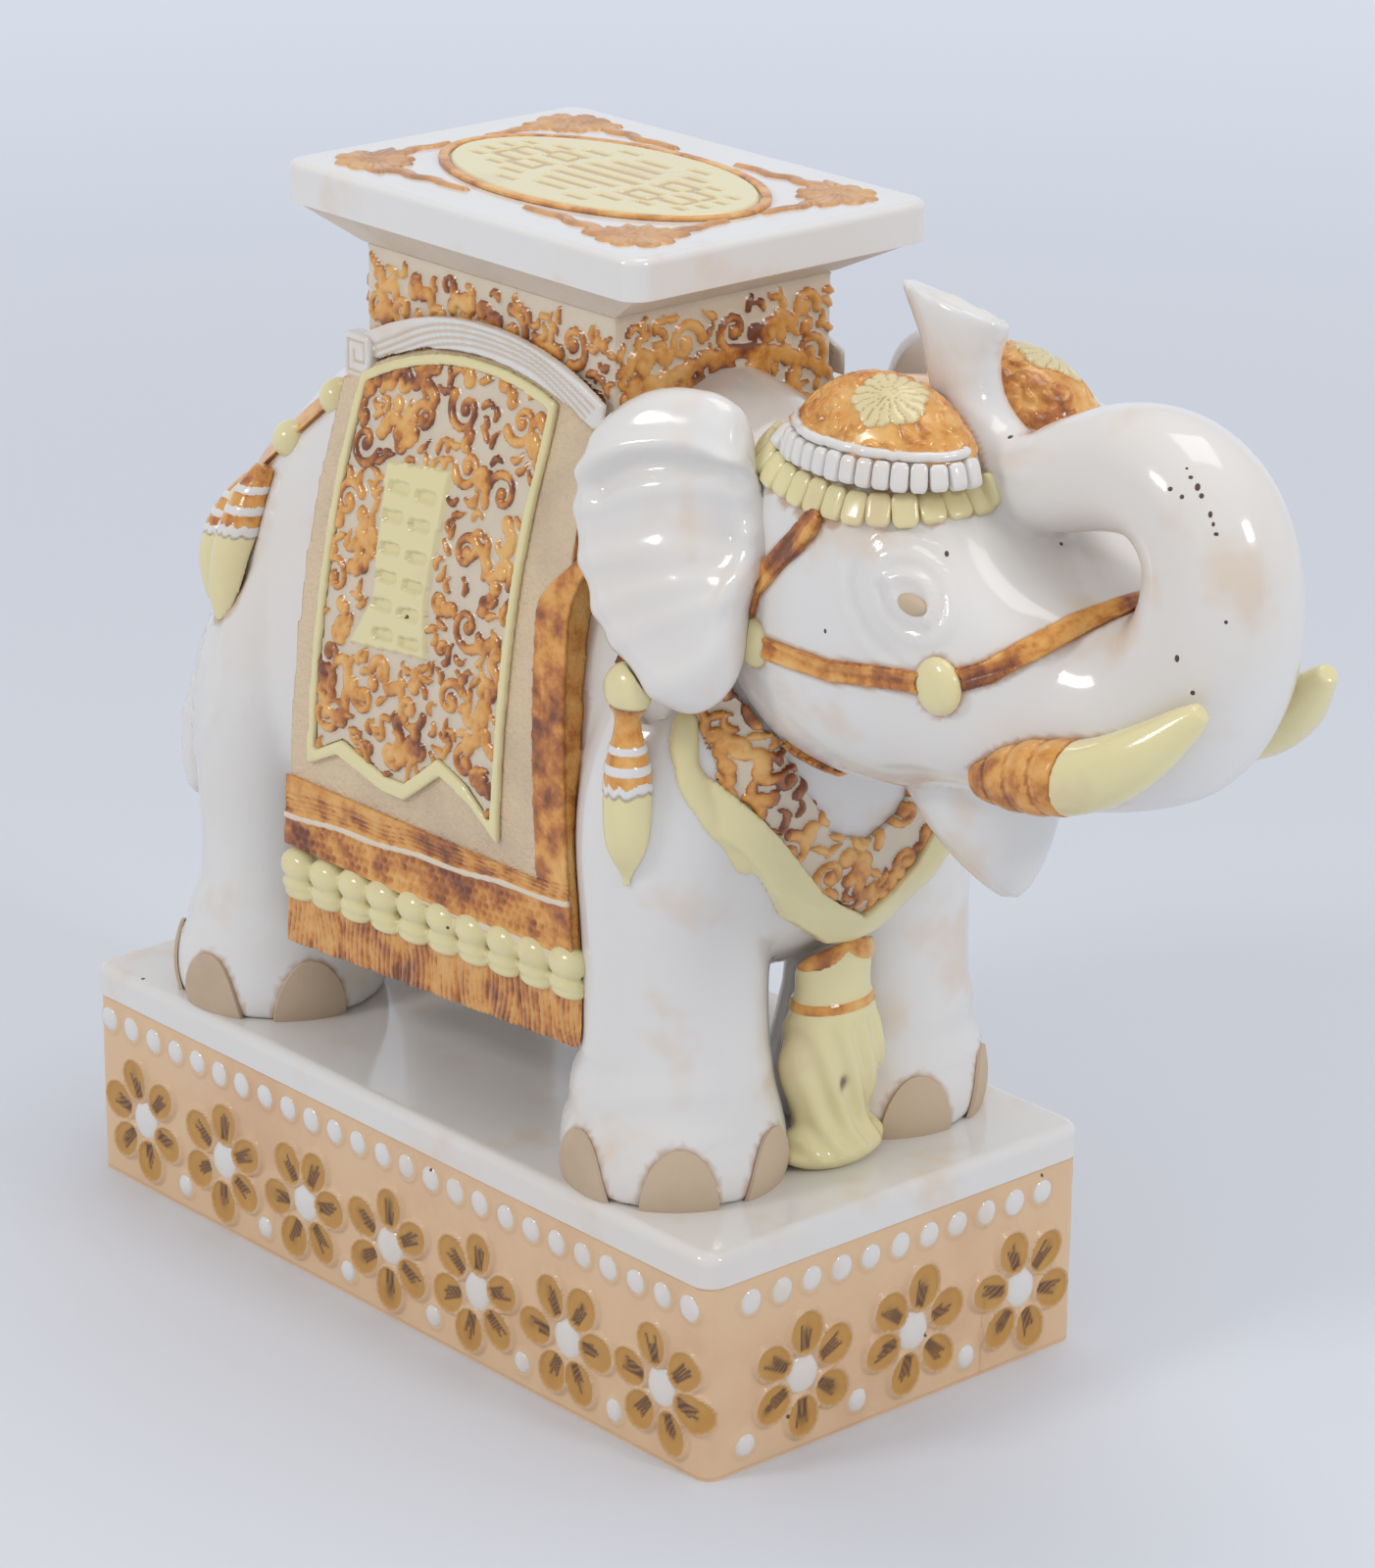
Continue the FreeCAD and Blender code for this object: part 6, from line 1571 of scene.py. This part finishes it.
def draw_drop(top, bottom, ball, neck_end, bands_end):
    """Ball, amber neck, bands with a zigzag edge and a pointed leaf; each ends at a share of the height."""
    def draw(points, normals):
        z = points[:, 2]
        share = (top - z) / (top - bottom)
        swing = points[:, 0] - points[:, 0].mean()
        edge = bands_end + 0.022 * np.abs(np.sin(swing * 0.75))
        span = bands_end - neck_end
        white = ((share > neck_end) & (share < neck_end + span * 0.16)) | \
                ((share > neck_end + span * 0.42) & (share < neck_end + span * 0.6)) | \
                ((share > edge - span * 0.22) & (share < edge))
        amber = (share > ball) & (share < edge)
        seam = np.exp(-((share - ball) / 0.008) ** 2) + np.exp(-((share - edge) / 0.008) ** 2)
        lift = 0.35 * np.where(white, 1.0, 0.0) - 0.4 * seam
        return {"lift": lift, "zones": np.column_stack([amber, white, np.clip(seam * 0.6, 0, 1)])}
    return draw


drop_low, drop_high = mm_box("ear_drop_right")
draw_ear_drop = draw_drop(drop_high[2], drop_low[2], ball=0.19, neck_end=0.36, bands_end=0.56)
both_flanks("ear_drop_bands", pressed(melted("ear_drop_right", 0.0007, 2), draw_ear_drop), dressed_glaze,
            "ear_drop")


def split_solids(node):
    """A node's separate solids as meshes."""
    whole = merged(node)
    for group in islands(whole):
        keep = {vert.index for vert in group}
        part = whole.copy()
        bmesh.ops.delete(part, geom=[vert for vert in part.verts if vert.index not in keep], context="VERTS")
        yield as_mesh("solid", part)
    whole.free()


for number, solid in enumerate(split_solids("rump_tassels")):
    heights = read_points(solid)[:, 2] / MM
    draw = draw_drop(heights.max(), heights.min(), ball=0.0, neck_end=0.13, bands_end=0.42)
    piece("rump_tassel_%d" % number, pressed(melted(solid, 0.0009, 2), draw), dressed_glaze,
          ["rump_tassels"])

# %% [markdown]
# The bridle straps have a thin groove pressed along the middle, where the brown glaze has run. The tusks sit
# in amber cuffs with three rolled rings.

# %% Bridle straps and tusk cuffs
STRAP_REACH, STRAP_END = np.array([3.0, 0.0, 6.0]), 14
STRAPS = [[(203, -60, 371), (188, -61, 353), (172, -61, 336), (169, -60, 322)],
          [(172, -61, 319), (194, -63, 318), (216, -63, 317), (247, -60, 322), (262, -57, 323)],
          [(262, -56, 322), (280, -47, 331), (300, -32, 338), (302, -18, 347), (303, 0, 354)],
          [(166, -58, 312), (160, -56, 299), (157, -48, 285), (166, -43, 275), (178, -35, 268),
           (201, -30, 269)]]


GROOVE_WIDTH, POOL_REACH = 0.75, 2.9


def draw_straps(points, normals):
    """A groove along each strap, and brown glaze pooled beside it."""
    folded = points * [1, -1, 1]
    folded[:, 1] = -np.abs(points[:, 1])
    gap = np.full(len(points), 1e9)
    for line in STRAPS:
        curve = along_line(line, 40)
        for a, b in zip(curve, curve[1:]):
            run = b - a
            share = np.clip(((folded - a) @ run) / (run @ run), 0, 1)
            off = folded - a - share[:, None] * run
            off = off - (off * normals).sum(1)[:, None] * normals
            gap = np.minimum(gap, np.linalg.norm(off, axis=1))
    groove = np.exp(-(gap / GROOVE_WIDTH) ** 2)
    pooled = blend_step(POOL_REACH - gap, -0.5, 0.5)
    return {"lift": 0.6 * (1 - pooled) - 0.7 * groove,
            "zones": np.column_stack([1 - 0 * gap, 0 * gap, np.clip(groove + 0.6 * pooled, 0, 1)])}


strap_mesh = pressed(melted("bridle_straps", 0.0008, 1), draw_straps)
strap_points = read_points(strap_mesh) / MM
strap_top = strap_points[:, 2].max()
strap_points += STRAP_REACH * blend_step(strap_points[:, 2], strap_top - STRAP_END, strap_top)[:, None]
write_points(strap_mesh, strap_points * MM)
piece("bridle_grooves", strap_mesh, hem_glaze, ["bridle_straps"])


CUFF_RINGS = 3.6


def draw_cuff(points, normals):
    """Rolled rings across the cuff, with dark glaze between them."""
    box_low, box_high = points.min(0), points.max(0)
    run = np.array([box_high[0] - box_low[0], 0, (box_high[2] - box_low[2]) * 0.35])
    share = ((points - box_low) @ run) / (run @ run)
    rings = np.abs(np.sin(share * math.pi * CUFF_RINGS)) ** 0.6
    zones = np.column_stack([rings * 0 + 1, rings * 0, 0.7 * (rings < 0.45)])
    return {"lift": 0.9 * rings - 0.6, "zones": zones}


both_flanks("cuff_rings", pressed(melted("tusk_cuff_right", 0.0009, 2), draw_cuff), hem_glaze,
            "tusk_cuff")

# %% [markdown]
# The seat ornament is a low relief. A spray of leaves lies in each corner, with veins that fan out from its
# root and two thin arms. No point rises above the ornament's packed height, because the stool can stand on
# its seat.

# %% Seat ornament: leaf sprays with bracket arms in the four corners
seat_low, seat_high = mm_box("seat_slab")
SEAT_MIDDLE = ((seat_low[0] + seat_high[0]) / 2, 0.0)
SEAT_TOP, ORNAMENT_TOP = seat_high[2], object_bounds()[1][2] / MM
SUNK, CLEAR = 0.5, 0.02
SPRAY_ROOT, SPRAY_HALF = (76, 50), (94.0, 66.0)
SPRAY_LEAVES = [(-28, 19, 5.2), (2, 15, 5.0), (32, 15, 5.0), (62, 15, 5.0), (92, 15, 5.0), (120, 19, 5.2)]
LONG_ARM = [(72, 53), (62, 56), (54, 51), (46, 55), (38, 50), (30, 53), (18, 52)]
SHORT_ARM = [(78, 46), (83, 39), (78, 32), (82, 26), (79, 19), (80, 10)]


def spray_strokes():
    strokes = []
    for angle, length, width in SPRAY_LEAVES:
        turn = math.radians(angle + 179)
        tip = (SPRAY_ROOT[0] + length * math.cos(turn), SPRAY_ROOT[1] + length * math.sin(turn))
        line = along_line([SPRAY_ROOT, ((SPRAY_ROOT[0] + tip[0]) / 2, (SPRAY_ROOT[1] + tip[1]) / 2), tip], 8)
        strokes.append((line, width * np.sin(np.linspace(0.35, 2.95, 8)) + 0.4))
    for angle in (-20, 20, 70, 110):
        turn = math.radians(angle)
        tip = (SPRAY_ROOT[0] + 12 * math.cos(turn), SPRAY_ROOT[1] + 10 * math.sin(turn))
        strokes.append((along_line([SPRAY_ROOT, tip], 6), np.full(6, 4.4)))
    for arm in (LONG_ARM, SHORT_ARM):
        strokes.append((along_line(arm, 30), np.linspace(3.6, 1.5, 30)))
    return strokes


def spread_sprays(u, v):
    """Place on the seat, the same place folded into one corner, and the veins that fan out from the root."""
    x, y = (u * 2 - 1) * SPRAY_HALF[0], (v * 2 - 1) * SPRAY_HALF[1]
    corner = np.column_stack([np.abs(x), np.abs(y)])
    away = corner - np.array(SPRAY_ROOT)
    angle, gap = np.arctan2(away[:, 1], away[:, 0]), np.hypot(away[:, 0], away[:, 1])
    return x, y, corner, gap, np.abs(np.sin(angle * 12 + 0.12 * gap)) ** 0.5


def place_sprays(u, v):
    x, y, corner, gap, veins = spread_sprays(u, v)
    relief = stroke_height(corner, spray_strokes())
    lift = relief ** 0.6 * (1.45 - 0.5 * blend_step(20 - gap, 0, 4) * (1 - veins))
    height = np.where(relief > 0.01, SEAT_TOP + lift - 0.05, SEAT_TOP - SUNK)
    return np.column_stack([x + SEAT_MIDDLE[0], y, np.minimum(height, ORNAMENT_TOP - CLEAR)]) * MM


def mark_sprays(u, v):
    _, _, _, gap, veins = spread_sprays(u, v)
    return {"relief": 0.35 + 0.45 * veins * blend_step(22 - gap, 0, 6)}


def leaf_colour(tree):
    amber = pool(tree, scaled(tree, calc(tree, "SUBTRACT", 0.78, attribute(tree, "relief")), 0.2))
    return mix(tree, 0.55, amber, (0.64, 0.38, 0.20))


leaf_glaze = glaze("leaf_glaze", leaf_colour, roughness=0.3, coat=0.2, bump=0.2)
UP = Vector((0, 0, 1))
piece("seat_sprays", laid_grid(264, 184, place_sprays, mark_sprays, UP), leaf_glaze,
      ["corner_sprays"])

# %% [markdown]
# Inside the amber ring lies a yellow plate. Its fretwork is plain bars sunk in the clay, the same in all four
# quarters, which stand in for the motif of the real seat.

# %% Seat ornament: the ring, and the fretwork plate inside it
ring_mesh = melted("medallion_ring", 0.0006, 3)
store(ring_mesh, "zones", [(1, 0, 0)] * len(ring_mesh.vertices))
piece("soft_medallion_ring", ring_mesh, hem_glaze, ["medallion_ring"])
PLATE_MIDDLE, PLATE_HALF = (18.0, 0.0), (74.5, 43.0)
PLATE_GROOVES = [(0, 20, 0, 3.2), (0, 17, 8.6, 2.6), (0, 13, 17.2, 2.4), (0, 8, 25.6, 2.4), (31, 7, 4.4, 2.4),
                 (31, 7, 13.0, 2.4), (28, 6, 21.4, 2.4), (48, 6, 0, 2.6), (47, 5, 8.6, 2.4),
                 (43, 4, 17.2, 2.2), (61, 3.2, 4.4, 2.2), (58, 3.0, 13.0, 2.2), (20, 5, 30.6, 2.0),
                 (26, 1.3, 9.0, 8.0), (40, 1.3, 10, 7.0), (54, 1.3, 5, 7.0)]


def fret_groove(x, y):
    """1 in the sunk bars of the fretwork, which is the same in all four quarters."""
    across, up = np.abs(x), np.abs(y)
    groove = np.zeros(len(x))
    for middle, half, level, width in PLATE_GROOVES:
        gap = np.maximum(np.abs(across - middle) - half, np.abs(up - level) - width / 2)
        groove = np.maximum(groove, blend_step(-gap, -0.9, 0.0))
    return groove


def spread_plate(u, v):
    x, y = (u * 2 - 1) * PLATE_HALF[0], (v * 2 - 1) * PLATE_HALF[1]
    edge = 1 - np.hypot(x / PLATE_HALF[0], y / PLATE_HALF[1])
    return x, y, blend_step(edge, 0.0, 0.02), fret_groove(x, y)


def place_plate(u, v):
    x, y, inside, groove = spread_plate(u, v)
    height = SEAT_TOP - SUNK + inside * (ORNAMENT_TOP - SEAT_TOP + 0.45 - groove)
    return np.column_stack([x + PLATE_MIDDLE[0], y + PLATE_MIDDLE[1], height]) * MM


def mark_plate(u, v):
    return {"fret": 1 - spread_plate(u, v)[3]}


def plate_colour(tree):
    return mix(tree, step_mask(tree, attribute(tree, "fret"), 0.35, 0.65), (0.66, 0.49, 0.32),
               yellow_colour(tree))


plate_glaze = glaze("plate_glaze", plate_colour, roughness=0.2, coat=0.3, bump=0.15)
piece("seat_fretwork", laid_grid(250, 140, place_plate, mark_plate, UP), plate_glaze,
      ["medallion_fret"])

# %% [markdown]
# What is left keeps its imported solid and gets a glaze.

# %% Glazes on the remaining solids
FINISH = {"white_glaze": white_glaze, "yellow_glaze": yellow_glaze, "amber_glaze": amber_glaze,
          "buff_bisque": bisque, "bare_clay": bare_clay, "cloth_field": cloth_clay}
slots = {entry["node"]: entry["material_slot"] for entry in frame["record"]["subparts"]}
for node, thing in nodes.items():
    finish = brushed if node == "seat_corbel" else FINISH[slots[node]]
    thing.data.materials.clear()
    thing.data.materials.append(finish)
print("glazed solids:", len(nodes))

# %% [markdown]
# The photograph was taken on pale paper with broad soft lights. One large light stands on the left, a smaller
# one on the right near the camera, and one overhead. The floor is a flat sheet that glows more the further it
# lies from the stool, which is painted light, and an upright sheet glows far behind it.

# %% Floor, lights and sky
def sheet(name, half, place, base, roughness, glow):
    """A flat square of paper that isn't part of the stool; glow is its own light, as a colour or wired."""
    bm = bmesh.new()
    bmesh.ops.create_grid(bm, x_segments=2, y_segments=2, size=half)
    bmesh.ops.transform(bm, matrix=place, verts=bm.verts)
    thing = to_object(name, bm)
    paper = glaze(name + "_paper", base, roughness)
    shader = paper.node_tree.nodes["Principled BSDF"]
    shader.inputs["Emission Strength"].default_value = 1.0
    light = glow(paper.node_tree) if callable(glow) else glow
    connect(paper.node_tree, (shader.inputs["Emission Color"], light))
    thing.data.materials.append(paper)


BLACK, FAR_FLOOR_GLOW, SCREEN_GLOW = (0.0, 0.0, 0.0), (0.20, 0.22, 0.25), (0.725, 0.785, 0.885)


def floor_glow(tree):
    """Painted light on the floor: no glow under the stool, and a pale glow far behind it."""
    reach = tree.nodes.new("ShaderNodeVectorMath")
    reach.operation = "LENGTH"
    tree.links.new(on_clay(tree), reach.inputs[0])
    return mix(tree, step_mask(tree, reach.outputs["Value"], 0.5, 3.0), BLACK, FAR_FLOOR_GLOW)


# The floor's glow is painted light that brightens it away from the stool.
sheet("floor", 9.0, Matrix(), (0.72, 0.74, 0.79), 0.7, floor_glow)
sheet("screen", 5.0, Matrix.Translation(EYE_POINT - EYE_BACK * 7.5) @ facing, BLACK, 1.0, SCREEN_GLOW)


def lamp(name, place, size, power, colour):
    light = bpy.data.lights.new(name, "AREA")
    light.shape = "RECTANGLE"
    light.size, light.size_y = size
    light.energy = power
    light.color = colour
    thing = bpy.data.objects.new(name, light)
    bpy.context.scene.collection.objects.link(thing)
    toward = Vector((0.05, 0, 0.25)) - Vector(place)
    thing.matrix_world = Matrix.Translation(place) @ toward.to_track_quat("-Z", "Y").to_matrix().to_4x4()
    return thing


lamp("key", (-0.5, -1.9, 1.6), (0.5, 0.36), 11.5, (1.0, 0.98, 0.95))
lamp("side", (1.9, 0.2, 1.3), (0.34, 0.34), 8, (0.97, 0.98, 1.0))
lamp("top", (0.2, 0.3, 2.0), (0.9, 0.9), 6, (1.0, 1.0, 1.0))
world = bpy.data.worlds.new("sky")
bpy.context.scene.world = world
world.use_nodes = True
sky = world.node_tree.nodes["Background"]
connect(world.node_tree, (sky.inputs["Color"], (0.88, 0.91, 0.96)), (sky.inputs["Strength"], 0.68))
bpy.context.scene.view_settings.view_transform = "Standard"

# %% [markdown]
# Last, the view layer is brought up to date.

# %% Bring the view layer up to date
bpy.context.view_layer.update()
